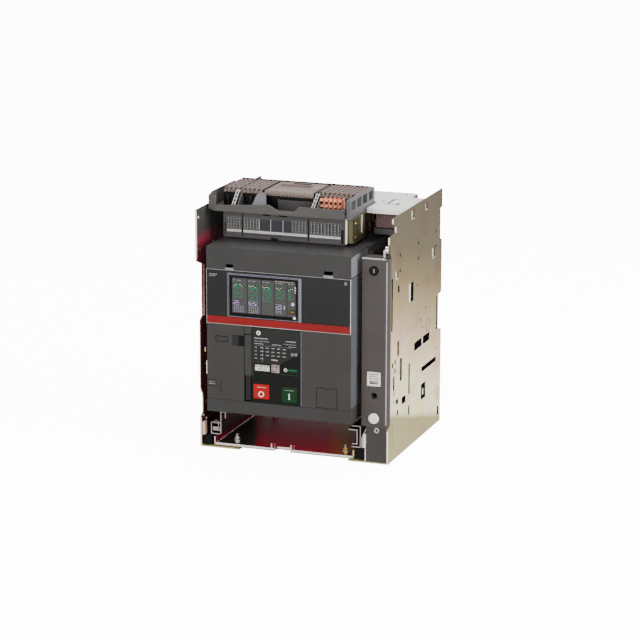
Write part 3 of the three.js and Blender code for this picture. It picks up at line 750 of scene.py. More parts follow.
def upper_trim():
    """Thin pale outline of the upper front, the trip unit's surround, and lighter copies of the casing on the
    case's right side that paint the light falling there.
    """
    z0, z1 = STRIPE[0].z, place("upper_fascia")[1].z
    x0, x1 = CASE[0].x, CASE[1].x
    bars = [
        (x0 + 0.05, x1 - 0.1, FACE + 0.05, FACE + 1.2, z1 - 0.15, z1 + 0.25),
        (x0 - 0.02, x0 + 0.5, FACE + 0.05, FACE + 1.4, z0 - 2, z1 + 0.6),
        (x0 + 0.3, x1 - 0.3, FACE + 0.02, FACE + 1.4, z0 - 0.75, z0 - 0.02),
    ]
    boxes("fascia_trim", bars, "pale", "breaker")
    bm = bmesh.new()
    low, high = TRIP_LOW, TRIP_HIGH
    add_frame(bm, low.x + 0.2, high.x - 0.2, low.z + 0.2, high.z - 0.2, 0.75, FACE - 0.12, FACE + 0.1)
    add_box(bm, high.x + 0.4, high.x + 3.6, FACE - 0.1, FACE + 0.3, low.z - 0.4, high.z + 1.2)
    add_box(bm, low.x - 1.6, high.x + 3.6, FACE - 0.1, FACE + 0.3, high.z + 0.6, high.z + 1.5)
    add_box(bm, low.x - 1.6, low.x - 0.9, FACE - 0.1, FACE + 0.3, low.z - 0.6, high.z + 1.5)
    finish_mesh("trip_surround", bm, "frame", "breaker", bevel=0.12)
    boxes("fascia_corner", [(x1 - 0.35, x1 + 0.1, FACE - 0.1, FACE + 2.2, z0 - 0.5, z1)], "pale", "breaker",
          bevel=0.2)
    # Two lighter skins on the case's right side: painted light, brightest near the top.
    for name, mat, low, high in (("top", "side_top", 265.6, CASE[1].z - 2), ("low", "side_painted_light", 82, 264.2)):
        boxes(f"casing_side_{name}", [(x1 + 0.02, x1 + 0.2, CASE[0].y + 2.2, CASE[1].y - 1, low, high)],
              mat, "breaker")


def fascia_marks():
    """Generic small print and the fastener of the upper front."""
    rows = [(-113, -101, 256.6, 1.1, [2.2, 0.8]), (-113.2, -104, 254.2, 0.7, [1.2, 0.6])]
    boxes("fascia_print", dashes(rows, FACE + 0.02, 0.06), "print", "breaker")
    bm = bmesh.new()
    add_lathe(bm, "Y", (85.3, FACE + 0.2, 258.2), [(2.6, -0.4), (2.6, 0.1), (2.1, 0.3)], 28)
    finish_mesh("fascia_screw", bm, "frame", "breaker")
    boxes("fascia_screw_slot", [(83.3, 87.3, FACE - 0.16, FACE, 257.8, 258.6)], "jet", "breaker")


def top_clips():
    """Release clips in the band: a dark pocket with a sloping pale tongue under it."""
    bm = bmesh.new()
    for x0, x1 in ((-89.5, -77.5), (53.5, 67.5)):
        add_prism(bm, "YZ", [(FACE - 1.5, 264.5), (FACE + 0.2, 264.5), (FACE + 0.2, 267.8),
                             (FACE - 0.5, 267.8)], x0, x1)
        for i in range(3):
            left = x0 + 1.2 + i * (x1 - x0 - 2.4) / 3
            add_box(bm, left, left + 1.4, FACE - 2.1, FACE - 0.8, 265.0, 266.6)
    finish_mesh("clip_tongues", bm, "frame", "breaker", bevel=0.2)
    bm = bmesh.new()
    for x in (-91, 72):
        add_lathe(bm, "Z", (x, FACE + 13, CASE[1].z), [(1.8, -0.3), (1.8, 0.12), (1.1, 0.14), (1.0, -0.2)],
                  20)
    finish_mesh("casing_top_screws", bm, "jet", "breaker")


# ---------------------------------------------------------------- breaker front: lower panels

def left_panel_details():
    """The finger recess, painted dark for its shade, the two framed labels and their print."""
    x0, x1 = -80.0, -62.6
    z0, z1 = 158.0, 173.0
    y = FACE + 1.5
    # Black floor and slope of the recess: painted shade.
    bm = bmesh.new()
    add_prism(bm, "XZ", [(x0, z0), (x1, z0), (x1, z1), (x0, z1)], y - 0.05, y + 0.35)
    finish_mesh("finger_recess_shade_floor", bm, "jet", "breaker")
    bm = bmesh.new()
    outline = [(x0 - 0.2, FACE + 0.15), (x0 - 0.2, FACE + 1.5), (x0 + 9.5, FACE + 1.5)]
    add_prism(bm, "XY", outline, z0, z1)
    finish_mesh("finger_recess_shade_ramp", bm, "black", "breaker")
    shapes("panel_label_frame", add_frame, [(-104.4, -86, 162.0, 170.2, 1.1, FACE - 0.05, FACE + 0.3)],
           "nameplate", "breaker")
    rows = [(-101.5, -89, 164.6, 3.0, [1.9, 0.4])]
    boxes("panel_label_print", dashes(rows, FACE + 0.02, 0.1), "casing", "breaker")
    grooves = [(-117.0, -103.0, 97.6, 98.2), (-117.0, -103.0, 106.2, 106.8), (-103.4, -102.9, 98, 106.4)]
    grooves += [(-98.6 + 2.6 * i, -98.0 + 2.6 * i, 90, 107) for i in range(2)]
    boxes("serial_label_frame", face_boxes(grooves, 0.3, FACE - 0.06), "jet", "breaker")
    rows = [(-115, -107, 103.2, 0.7, [1.4, 0.5]), (-115, -105.5, 100.2, 0.9, [1.2, 0.5])]
    boxes("serial_label_print", dashes(rows, FACE + 0.02, 0.1), "print", "breaker")


def lever_details():
    """The lever's flush cover with its grip ribs, over a lower end painted dark for the shade in its slot."""
    low, high = place("charging_lever")
    x0, x1 = low.x - 1.4, high.x + 1.2
    boxes("lever_cover", [(x0, x1, low.y - 0.6, low.y + 0.9, 117, high.z - 0.2)], "panel", "charging_lever",
          bevel=0.3)
    bm = bmesh.new()
    for i in range(5):
        z = high.z - 6 - i * 2.6
        add_box(bm, x0 + 1.5, x1 - 1.5, low.y - 0.85, low.y - 0.4, z, z + 1.1)
    finish_mesh("lever_grip_ribs", bm, "casing", "charging_lever", bevel=0.15)
    # Black lower end of the lever: painted shade.
    boxes("lever_foot_shade", [(low.x + 0.1, high.x - 0.1, low.y - 0.15, low.y + 0.2, low.z + 1, 116.5)], "black",
          "charging_lever")
    boxes("lever_slot_shadow", [(-62.2, -51.4, FACE + 9.5, FACE + 10.3, 80, 186)], "jet", "breaker")
    boxes("lever_slot_head", [(-61.9, -51.6, FACE + 0.3, FACE + 2, high.z + 1, STRIPE[0].z - 2)], "panel",
          "breaker", bevel=0.2)


def mechanism_divider():
    """The pale upright line right of the nameplate."""
    boxes("mechanism_divider", [(NAME[1].x - 0.15, NAME[1].x + 0.9, FACE + 0.05, FACE + 1.4,
                                 NAME[0].z + 0.1, STRIPE[0].z - 1.2)], "divider", "breaker", bevel=0.15)


# ---------------------------------------------------------------- breaker front: nameplate and buttons

def nameplate_print():
    """Rating table as short generic bars, with a paler printed area that ends on a slant."""
    front = NAME[0].y
    bm = bmesh.new()
    for outline in ([(-50.6, 185.6), (20.6, 185.6), (20.6, 155.5), (-8, 137.5), (-10, 135.8), (-50.6, 135.8)],
                    [(-23.4, 135.8), (-10, 135.8), (-23.4, 125)],
                    [(-50.6, 135.8), (-48.4, 135.8), (-48.4, 115), (-50.6, 114)]):
        add_prism(bm, "XZ", outline[::-1], front - 0.06, front + 0.02)
    finish_mesh("nameplate_tone", bm, "print_grey", "breaker")
    rows = [
        (-47, -27, 170.6, 1.5, [1.7, 0.45]), (-47, -25, 166.9, 0.8, [0.9, 0.5, 2.1, 0.6]),
        (-47, -34, 163.2, 1.1, [1.5, 0.5]), (-21, -8, 163.4, 1.1, [2.2, 0.8]),
        (-1, 14, 169.4, 1.5, [1.6, 0.5]), (-5, 13.5, 165.8, 0.7, [1.1, 0.5]), (3, 14, 162.6, 0.8, [1.4, 0.6]),
    ]
    for r in range(4):
        z = 157.8 - 5.2 * r
        for c in range(6 if r < 3 else 2):
            x = -46.6 + c * 8.2
            rows.append((x, x + (3.2 if c == 0 else 4.6), z, 1.3, [1.2, 0.35]))
    marks = dashes(rows, front - 0.07, 0.08)
    marks += [(-35.2, -35.0, front - 0.13, front - 0.05, 137.5, 161.5)]
    marks += [(-46.6, 8.4, front - 0.13, front - 0.05, 161.3, 161.45)]
    boxes("nameplate_print", marks, "print", "breaker")
    note = dashes([(-22, -12.5, 141.6, 1.3, [1.4, 0.5])], front - 0.07, 0.08)
    boxes("nameplate_note", note, "cream", "breaker")
    bm = bmesh.new()
    for x in (8.6, 13.6):
        add_ring(bm, "Y", (x, front - 0.1, 152.5), 1.9, 1.25, 0.08, 24)
    finish_mesh("nameplate_symbols", bm, "pale", "breaker")


def nameplate_fields():
    """Reset ring, flag windows and the small coded label."""
    front = NAME[0].y
    reset = place("reset_button")[0].y
    x, z = middle("reset_button").xz
    shapes("reset_bezel", add_ring, [("Y", (x, front - 0.1, z), 4.8, 4.25, 0.5, 48)], "print_grey",
           "breaker", bevel=0.1)
    bm = bmesh.new()
    add_lathe(bm, "Y", (x, reset - 0.02, z), [(3.1, -0.3), (3.1, 0.15), (2.6, 0.32)], 40)
    finish_mesh("reset_cap", bm, "label", "reset_button")
    shapes("reset_dot", add_lathe, [("Y", (x, reset - 0.35, z), [(1.3, -0.1), (1.3, 0.12)], 24)], "casing",
           "reset_button")
    flag = place("spring_flag")[0].y
    rows = [(-45.6, -26.5, 130.2, 1.3, [1.5, 0.4]), (-43, -30, 127.0, 1.3, [1.3, 0.45])]
    boxes("spring_flag_print", dashes(rows, flag, 0.1), "casing", "spring_flag")
    low, high = -22.0, -10.5
    boxes("coded_label", [(low, high, front - 0.14, front, 124.2, 135.6)], "coded", "breaker")
    rng = random.Random(3)
    cells = []
    for i in range(8):
        for j in range(8):
            if rng.random() < 0.42:
                x = low + 0.7 + i * 1.27
                z = 124.9 + j * 1.27
                cells.append((x, x + 1.2, front - 0.2, front - 0.1, z, z + 1.2))
    boxes("coded_label_hatch", cells, "brown", "breaker")
    contact = place("contact_flag")[0].y
    shapes("contact_flag_ring", add_ring, [("Y", (-2.2, contact - 0.1, 129), 2.5, 1.45, 0.3, 40)], "white",
           "contact_flag")
    rows = [(2.2, 14.8, 128.3, 1.5, [1.9, 0.5])]
    boxes("contact_flag_print", dashes(rows, contact, 0.12), "legend_green", "contact_flag")
    ticks = dashes([(-8, 17, 122.6, 0.35, [1.1, 0.9])], front, 0.08)
    boxes("contact_window_ticks", ticks, "legend_green", "breaker")


def button_symbols():
    """O and I, with a short printed bar over each."""
    for name, (low, high), mat in (("off_button", OFF, "cream"), ("on_button", ON, "print")):
        x, y = middle(name).x, low.y
        rows = [(x - 6.0, x + 7.0, high.z - 4.6, 0.9, [1.3, 0.7, 0.9, 0.6])]
        boxes(f"{name}_print", dashes(rows, y, 0.1), mat, name)
    x = middle("off_button").x
    shapes("off_symbol", add_ring, [("Y", (x, OFF[0].y - 0.12, 92.0), 4.2, 2.9, 0.3, 48)], "white",
           "off_button", bevel=0.08)
    x = middle("on_button").x
    boxes("on_symbol", [(x - 0.75, x + 0.75, ON[0].y - 0.28, ON[0].y, 87.6, 96.4)], "white", "on_button",
          bevel=0.08)


def right_panel_details():
    """Faint moulded flutes and the pull edge of the little door."""
    rows = [(26 + 2.2 * i, 26.3 + 2.2 * i, 112, 184) for i in range(8)]
    boxes("right_panel_flutes", face_boxes(rows, 0.12, FACE - 0.06), "casing", "breaker")
    low, high = place("access_door")
    boxes("door_pull", [(low.x + 10, high.x - 10, low.y - 0.06, low.y + 0.3, high.z - 2.2, high.z - 1.6)],
          "jet", "access_door")


def build_front():
    trip_face()
    trip_legends()
    dip_switches()
    trip_right_column()
    upper_trim()
    fascia_marks()
    top_clips()
    left_panel_details()
    lever_details()
    mechanism_divider()
    nameplate_print()
    nameplate_fields()
    button_symbols()
    right_panel_details()


build_front()


# ---------------------------------------------------------------- control terminal box

BOX_FRONT = TBOX[0].y
TRAY = place("push_in_terminals")[0].z - 3            # floor of the wiring tray
RIBBED = ["terminal_block_left", "terminal_block_right"]


def fascia_labels():
    """Pale marking strips under the connector blocks."""
    strips = [(-110, -89), (-85.6, 8.4), (12, 57)]
    boxes("terminal_label_strips", [(x0, x1, BOX_FRONT - 0.5, BOX_FRONT, 305.4, 308.6)
                                    for x0, x1 in strips],
          "pale_label_and_slot_light", "cradle", bevel=0.15)
    marks = []
    for x0, x1 in strips:
        marks += dashes([(x0 + 2, x1 - 2, 306.4, 1.1, [1.3, 1.9])], BOX_FRONT - 0.5, 0.08)
    boxes("terminal_label_print", marks, "fascia")


def fascia_sockets():
    """Connector blocks: rows of small contact openings between pale upright ribs."""
    groups = [(-110, -89, 5), (-85.6, -63.5, 5), (-14.7, 8.2, 5), (12.5, 57, 9)]
    plates, holes, ticks, ribs = [], [], [], []
    for x0, x1, columns in groups:
        plates.append((x0, x1, BOX_FRONT - 0.7, BOX_FRONT, 309.6, 327))
        pitch = (x1 - x0) / columns
        for c in range(columns):
            x = x0 + c * pitch
            ribs.append((x, x + 0.45, BOX_FRONT - 1.1, BOX_FRONT, 309.6, 326))
            for r in range(4):
                z = 311.0 + r * 3.9
                holes.append((x + 1.0, x + pitch - 0.5, BOX_FRONT - 0.85, BOX_FRONT - 0.6, z, z + 3.2))
                ticks.append((x + 1.7, x + 3.0, BOX_FRONT - 1.0, BOX_FRONT - 0.85, z + 0.5, z + 2.6))
    boxes("connector_plates", plates, "socket", bevel=0.15)
    boxes("connector_openings", holes, "jet")
    boxes("connector_ticks", ticks, "print")
    boxes("connector_ribs", ribs, "fascia")
    panes = [(-62, -45.5), (-44.7, -27.5), (-26.7, -15.5)]
    boxes("fascia_panes", [(x0 + 0.1, x1 - 0.1, BOX_FRONT + 0.6, BOX_FRONT + 1.4, 310.1, 324.9)
                           for x0, x1 in panes], "window")
    bars = [(x, x + 0.8, BOX_FRONT - 0.5, BOX_FRONT + 1.2, 309.6, 326) for x in (-62.6, -45.5, -27.5)]
    boxes("fascia_pane_bars", bars, "pale", "cradle")
    y0, y1 = BOX_FRONT - 0.12, BOX_FRONT
    grooves = [(-87.8, -86.4, y0, y1, 300, 331), (9.4, 11.2, y0, y1, 299, 331),
               (-113.5, -112.0, y0, y1, 301, 317), (58.2, 61.4, y0, y1, 299, 319),
               (-86, 8, y0, y1, 302.2, 302.7)]
    boxes("fascia_grooves", grooves, "jet")


def ladder(bm, x, foot, head, steps):
    """An open partition of two thin rails joined by rungs, leaning from foot to head (y, z)."""
    for dx in (0, 3.6):
        outline = [foot, (foot[0] + 2.4, foot[1]), head, (head[0] - 2.4, head[1])]
        add_prism(bm, "YZ", outline, x + dx, x + dx + 1.0)
    for i in range(steps):
        t = (i + 0.5) / steps
        y = foot[0] + 1.7 + t * (head[0] - foot[0] - 1.7)
        z = foot[1] + t * (head[1] - foot[1])
        add_box(bm, x, x + 4.6, y - 0.7, y + 0.7, z - 0.8, z + 0.8)


def tray_partitions():
    """The two leaning ladders and the solid webs of the wiring tray."""
    bm = bmesh.new()
    ladder(bm, -101, (-85, TRAY + 2), (-58, 362.5), 5)
    ladder(bm, 13.5, (-82, TRAY + 2), (-48, 362.5), 6)
    finish_mesh("tray_ladders", bm, "pale", "cradle", bevel=0.2)
    bm = bmesh.new()
    for x in (-95, 21, 60):
        outline = [(-80, TRAY + 0.3), (-54.2, TRAY + 0.3), (-54.2, 358), (-58, 358), (-66, 352), (-76, 343)]
        add_prism(bm, "YZ", outline, x, x + 1.4)
    finish_mesh("tray_webs", bm, "hood", bevel=0.2)


def tray_scoop():
    """A curved guide that narrows as it rises to the terminals."""
    bm = bmesh.new()
    rows = []
    for i in range(13):
        t = i / 12
        y = -88 + 33.5 * t
        z = TRAY + 0.4 + 21 * math.sin(t * math.pi / 2)
        x0, x1 = -71 + 2 * t, -47 - 13 * t
        rows.append([bm.verts.new(point) for point in ((x0, y, z), (x1, y, z), (x1, y + 1.6, z - 1.4),
                                                       (x0, y + 1.6, z - 1.4))])
    skin(bm, rows)
    cap(bm, rows)
    finish_mesh("tray_scoop", bm, "scoop")


def terminal_fronts():
    """A dark sheet painting the shade of the wire cavity under the terminals, with the wires that enter them.
    """
    shadow, teeth, wires, backs = bmesh.new(), bmesh.new(), bmesh.new(), bmesh.new()
    for node in (*RIBBED, "terminal_block_middle"):
        low, high = place(node)
        # Black sheet on the blocks' fronts: painted shade under the overhanging tops.
        add_box(shadow, low.x + 0.2, high.x - 0.2, low.y - 0.6, low.y - 0.05, TRAY + 0.5, high.z - 6.2)
        count = int((high.x - low.x) / 5.2)
        pitch = (high.x - low.x) / count
        for i in range(count):
            x = low.x + (i + 0.5) * pitch
            add_ring(teeth, "Y", (x, low.y - 0.9, high.z - 4.4), 2.0, 1.1, 1.8, 14)
            if node == RIBBED[0] and i % 2:
                turn = Matrix.Translation((x, low.y - 5, TRAY + 8)) @ Matrix.Rotation(math.radians(24), 4,
                                                                                      "X")
                bmesh.ops.create_cone(wires, cap_ends=True, segments=8, radius1=0.8, radius2=0.8, depth=16,
                                      matrix=turn)
    low, high = place("terminal_block_middle")
    add_box(backs, low.x + 22, high.x + 1, low.y - 8, low.y - 6.6, TRAY + 0.4, high.z - 10)
    for x in (low.x + 22, high.x - 8):
        add_box(backs, x, x + 1.2, low.y - 8, low.y - 0.6, TRAY + 0.4, high.z - 10)
    finish_mesh("cavity_back", backs, "pillar_dark", "cradle", bevel=0.3)
    finish_mesh("wire_cavity_painted_shade", shadow, "jet")
    finish_mesh("wire_entry_rings", teeth, "terminal")
    finish_mesh("tray_wires", wires, "casing", "cradle")


def terminal_tops():
    """Screw wells and marking slots on top of the ribbed blocks, and the plain block's lid."""
    wells, screws, slots, bars = bmesh.new(), bmesh.new(), bmesh.new(), bmesh.new()
    for node in RIBBED:
        low, high = place(node)
        top = high.z - 0.2
        count = int((high.x - low.x) / 6.9)
        pitch = (high.x - low.x) / count
        depth = high.y - low.y
        add_box(bars, low.x + 0.2, high.x - 0.2, low.y + 4, high.y - 8, high.z - 5.2, top - 0.5)
        for i in range(count):
            x = low.x + (i + 0.5) * pitch
            for t in (0.12, 0.32, 0.55):
                y = low.y + t * depth
                add_ring(wells, "Z", (x, y, top), 2.5, 1.7, 0.7, 14)
                add_rod(screws, "Z", (x, y, top - 0.25), 1.7, 0.3, 14)
            y = low.y + 0.74 * depth
            add_box(slots, x - 2.2, x + 2.2, y - 3.0, y + 3.0, top - 0.3, top - 0.1)
            add_box(wells, x - 2.6, x - 2.2, low.y + 1, high.y - 6, top - 0.4, top + 0.2)
    finish_mesh("terminal_wells", wells, "terminal")
    finish_mesh("terminal_screws", screws, "brown", "cradle")
    finish_mesh("terminal_slots", slots, "brown", "cradle")
    finish_mesh("terminal_lids", bars, "terminal_dull")
    back = place("terminal_block_middle")[1].y
    edges = [(-122, 69.5, back - 3.2, back - 0.2, 360.5, 363.6), (-97.4, -95.6, -50, 14, 360, 363.55),
             (-65.6, -62.4, -52, 18, 355, 362.6), (10.3, 13.7, -52, 18, 355, 362.8),
             (-40, -14, 4, 9, 361, 362.5)]
    boxes("terminal_dark_edges", edges, "jet", bevel=0.2)
    top = place("terminal_block_middle")[1].z
    lid = [(-60, -58.8, -50, 12, top, top + 0.7), (7, 8.4, -50, 12, top, top + 0.7),
           (-59, 8, -30, -28.6, top, top + 0.6)]
    lid += [(-58 + i * 6.6, -54.4 + i * 6.6, -53.8, -48, top - 1, top + 0.5) for i in range(10)]
    boxes("middle_block_ridges", lid, "terminal", bevel=0.3)


def push_in_details():
    """Two rows of orange release tongues, each over a round wire opening."""
    low, high = place("push_in_terminals")
    tongues, holes, tips = bmesh.new(), bmesh.new(), bmesh.new()
    count = 5
    pitch = (high.x - low.x) / count
    for i in range(count):
        x = low.x + (i + 0.5) * pitch
        for r in range(2):
            y = low.y - 0.2
            z = low.z + 4.4 + 8.2 * r
            outline = [(y + 0.4, z), (y - 2.6, z + 0.6), (y - 1.4, z + 3.6), (y + 0.4, z + 4.0)]
            add_prism(tongues, "YZ", outline, x - 0.34 * pitch, x + 0.34 * pitch)
            add_rod(holes, "Y", (x, y - 0.05, z - 2.1), 1.9, 0.5, 14)
            add_box(tips, x - 1.2, x + 1.2, y - 2.9, y - 2.0, z + 1.6, z + 2.8)
    finish_mesh("push_in_tongues", tongues, "orange", bevel=0.2)
    finish_mesh("push_in_openings", holes, "jet")
    finish_mesh("push_in_tips", tips, "cream", "cradle")


def bracket_details():
    """Flange, painted highlights on its edges, holes and screws of the terminal box's bracket."""
    low, high = place("terminal_bracket")
    boxes("bracket_flange", [(high.x - 3, high.x - 1, low.y + 1, high.y - 14, 300, 333.5),
                             (low.x + 2.2, high.x - 1.2, low.y + 1, low.y + 2.6, 300, 333.5)], "zinc_olive",
          bevel=0.3)
    # Near-white strips on the bracket's edges: painted highlights.
    boxes("bracket_edge_highlight", [(high.x - 1, high.x + 0.2, -43, -40.6, 311, 335.5),
                                  (low.x - 1.8, low.x + 0.4, low.y - 1.2, low.y + 0.6, 299, 335)],
          "cut_edge", bevel=0.2)
    boxes("bracket_holes", [(high.x - 1.05, high.x - 0.8, -60, -57, 306, 330),
                            (high.x - 1.05, high.x - 0.8, -36, -33, 303, 306)], "brown")
    bm = bmesh.new()
    for y, z in ((low.y + 8, 308), (low.y + 8, 327), (-38, 308)):
        add_lathe(bm, "X", (high.x - 0.8, y, z), [(2.2, -0.8), (2.2, 0.2), (1.4, 0.9)], 20)
    finish_mesh("bracket_screws", bm, "brass")


# ---------------------------------------------------------------- pillar

def pillar_details():
    """Label round the position window, the seam, the cover screw and the release button's disc."""
    y = PILLAR.y
    label = ((107.9, 127.2, 118.5, 130.4), (107.9, 127.2, 110.6, 113.4), (107.9, 111.5, 113.4, 118.5),
             (123.6, 127.2, 113.4, 118.5))
    boxes("position_label", [(x0, x1, y + 0.5, y + 0.9, z0, z1) for x0, x1, z0, z1 in label], "label")
    rows = [(110.5, 124.5, 126.6, 1.3, [1.6, 0.5]), (110.2, 123.5, 123.4, 1.2, [1.3, 0.5]),
            (109.8, 125, 120.3, 1.3, [1.5, 0.5])]
    boxes("position_label_print", dashes(rows, y + 0.5, 0.08), "casing", "cradle")
    boxes("pillar_line", [(103.5, 133, y - 0.05, y + 0.25, 221.8, 222.3)], "casing", "cradle")
    shapes("cover_screw_ring", add_ring, [("Y", (122.3, y - 0.2, 47.9), 3.9, 1.9, 1.2, 32)], "nickel",
           bevel=0.25)
    shapes("cover_screw_socket", add_rod, [("Y", (122.3, y + 0.6, 47.9), 2.6, 1.2, 6)], "jet")
    bm = bmesh.new()
    x, z = middle("release_button").xz
    profile = [(7.35, -9.0), (7.35, 0.6), (7.0, 1.2), (5.2, 1.5), (0.05, 1.55)]
    add_lathe(bm, "Y", (x, place("release_button")[0].y + 1.5, z), profile, 56)
    disc = finish_mesh("release_disc", bm, "label", "release_button")
    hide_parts("release_button")


def key_lock_details():
    """The bezel round the lock, and a grey ring and slot on its rotor that paint glints on the black knob."""
    x, z = middle("lock_body").xz
    shapes("lock_bezel", add_ring, [("Y", (x, place("lock_body")[0].y + 0.1, z), 6.6, 4.9, 0.7, 48)], "jet",
           bevel=0.15)
    front = place("key_lock")[0].y
    # Grey ring and slot on the black rotor: painted glints.
    shapes("key_lock_glint_ring", add_ring, [("Y", (x, front + 0.1, z), 3.9, 3.3, 0.5, 36)], "casing", "key_lock",
           bevel=0.1)
    boxes("key_slot_glint", [(x - 0.7, x + 0.7, front - 0.12, front + 1.4, z - 2.5, z + 2.5)], "print",
          "key_lock")


def spindle_thread():
    """Trapezoidal thread of the racking spindle."""
    x, z = middle("racking_spindle").xz
    root, crest, ridges, pitch = 4.3, 5.0, 30, 4.0
    profile = [(root, 0.0)]
    for i in range(ridges):
        start = i * pitch
        profile += [(root, start + 0.8), (crest, start + 1.6), (crest, start + 2.4), (root, start + 3.2)]
    shapes("spindle_thread", add_lathe, [("Y", (x, place("racking_spindle")[1].y - 2, z), profile, 20)],
           "steel", "racking_spindle")


def build_pillar_and_terminals():
    fascia_labels()
    fascia_sockets()
    tray_partitions()
    tray_scoop()
    terminal_fronts()
    terminal_tops()
    push_in_details()
    bracket_details()
    pillar_details()
    key_lock_details()
    spindle_thread()


build_pillar_and_terminals()


# ---------------------------------------------------------------- cradle

OUTER = PLATE_R[1].x                      # outside face of the right side plate
BRIGHT_SLOTS = [(88.5, 101, 251, 265), (-80, -68, 256, 267), (-10.5, 2, 327, 338.5), (53.5, 63, 328, 337)]
TALL_SLOT = (-20, 0, 209.5, 236.5)
NARROW = [(-98, -93.5, 187, 260), (-57, -50, 107, 139), (-18, -13, 78, 122), (-18, -13, 48, 61),
          (-70, -64, 146, 166), (-82, -78, 137, 143), (-82, -78, 124, 130), (-88, -83, 100, 120),
          (-94.5, -90, 134, 140.5), (-75, -66, 78, 84), (-70, -65.5, 61.5, 68), (120.5, 127, 11.5, 24),
          (-69.5, -64, 235.5, 245), (-7, 0, 209.5, 236.5)]
WIDE = [(6.5, 43, 134, 146), (47.4, 79.5, 134, 146), (42, 112, 94.5, 102), (40.5, 63, 54, 77),
        (-49, -30, 70.5, 81)]


def plate_window_shade():
    """What shows through the right plate's windows: a dark sheet and dark pads that paint the shade inside
    them, and pale tabs that paint the light seen through them.
    """
    inner = PLATE_R[1].x - 2
    # Dark sheet behind the windows: painted shade.
    boxes("plate_window_shade", [(inner - 1.2, inner - 0.4, -96, 128, 8, 244)], "jet", "cradle")
    # Pale tabs in the bright slots and on the tall slot's left side: painted light seen through them.
    tabs = [(inner - 1.2, inner - 0.4, y0 - 2, y1 + 2, z0 - 2, z1 + 2) for y0, y1, z0, z1 in BRIGHT_SLOTS]
    # Dark pads in the narrow and wide windows: painted shade inside them.
    pads = [(inner, OUTER + 0.06, y0 - 0.5, y1 + 0.5, z0 - 0.2, z1 + 0.2) for y0, y1, z0, z1 in NARROW]
    pads += [(inner, OUTER - 0.7, y0 + 0.2, y1 - 0.2, z0 + 0.2, z1 - 0.2) for y0, y1, z0, z1 in WIDE]
    boxes("plate_slot_shade_pads", pads, "soot")
    y0, y1, z0, z1 = TALL_SLOT
    tabs += [(inner, OUTER - 0.8, y0 + 0.2, y0 + 11, z0 + 0.2, z1 - 0.2),
             (OUTER - 0.9, OUTER - 0.5, 49, 54, 60, 69)]
    boxes("plate_slot_light_tabs", tabs, "pale_label_and_slot_light")


def plate_plug():
    """The pressed yellow plug, and round marks pressed into the sheet."""
    bm = bmesh.new()
    add_lathe(bm, "X", (OUTER - 0.4, 119.3, 45), [(8.6, 0), (8.6, 0.6), (7.8, 0.9), (0.1, 0.95)], 40)
    add_ring(bm, "X", (OUTER + 0.3, 119.3, 45), 9.6, 8.8, 0.4, 40)
    finish_mesh("plate_plug", bm, "disc")
    bm = bmesh.new()
    for y, z, radius in ((72, 158, 10), (36, 173, 3.4), (44, 161, 2.2)):
        add_ring(bm, "X", (OUTER + 0.05, y, z), radius, radius - 0.9, 0.3, 32)
    finish_mesh("plate_bosses", bm, "zinc_olive")


def plate_window_highlights():
    """Painted highlights along the lower and front edges of the windows."""
    bm = bmesh.new()
    # Pale strips on two sides of each window only: painted highlights where light catches the edges.
    for y0, y1, z0, z1 in WIDE + BRIGHT_SLOTS:
        edge = 0.7
        for a, b, c, d in ((y0 - edge, y1 + edge, z0 - edge, z0), (y0 - edge, y0, z0, z1)):
            add_box(bm, OUTER - 0.1, OUTER + 0.12, a, b, c, d)
    finish_mesh("window_edge_highlights", bm, "zinc_pale_and_highlight")
    lines = [(OUTER - 0.1, OUTER + 0.08, y, y + 0.8, z0, z1)
             for y, z0, z1 in ((-62, 118, 134), (-90, 20, 50), (108, 82, 90), (-88, 92, 96), (80, 150, 166))]
    boxes("plate_scratches", lines, "brown", "cradle")


def plate_rivets():
    """Rivet heads and round holes on the right side plate, rivets inside the left one."""
    heads, holes = bmesh.new(), bmesh.new()
    for y, z in ((-60, 265), (-60, 286.5), (23, 265), (23, 286.5), (106, 265), (106, 286.5)):
        add_ring(heads, "X", (OUTER + 0.1, y, z), 3.1, 2.0, 0.5, 20)
        add_rod(holes, "X", (OUTER - 2.6, y, z), 2.4, 0.4, 16)
    for y, z in ((20, 227), (60, 186), (-84, 96), (-84, 84), (112, 114)):
        add_ring(heads, "X", (OUTER + 0.05, y, z), 2.2, 1.2, 0.3, 16)
        add_rod(holes, "X", (OUTER + 0.02, y, z), 1.2, 0.3, 16)
    finish_mesh("plate_rivet_rings", heads, "zinc_olive")
    finish_mesh("plate_rivet_holes", holes, "brown")
    bm = bmesh.new()
    inside = PLATE_L[0].x + 2
    for y, z in ((-114, 330), (-112, 284), (-90, 60), (-20, 300), (60, 300)):
        add_lathe(bm, "X", (inside, y, z), [(3.0, -0.3), (3.0, 0.6), (2.2, 1.3), (0.8, 1.6)], 24)
    finish_mesh("inner_rivets", bm, "nickel")


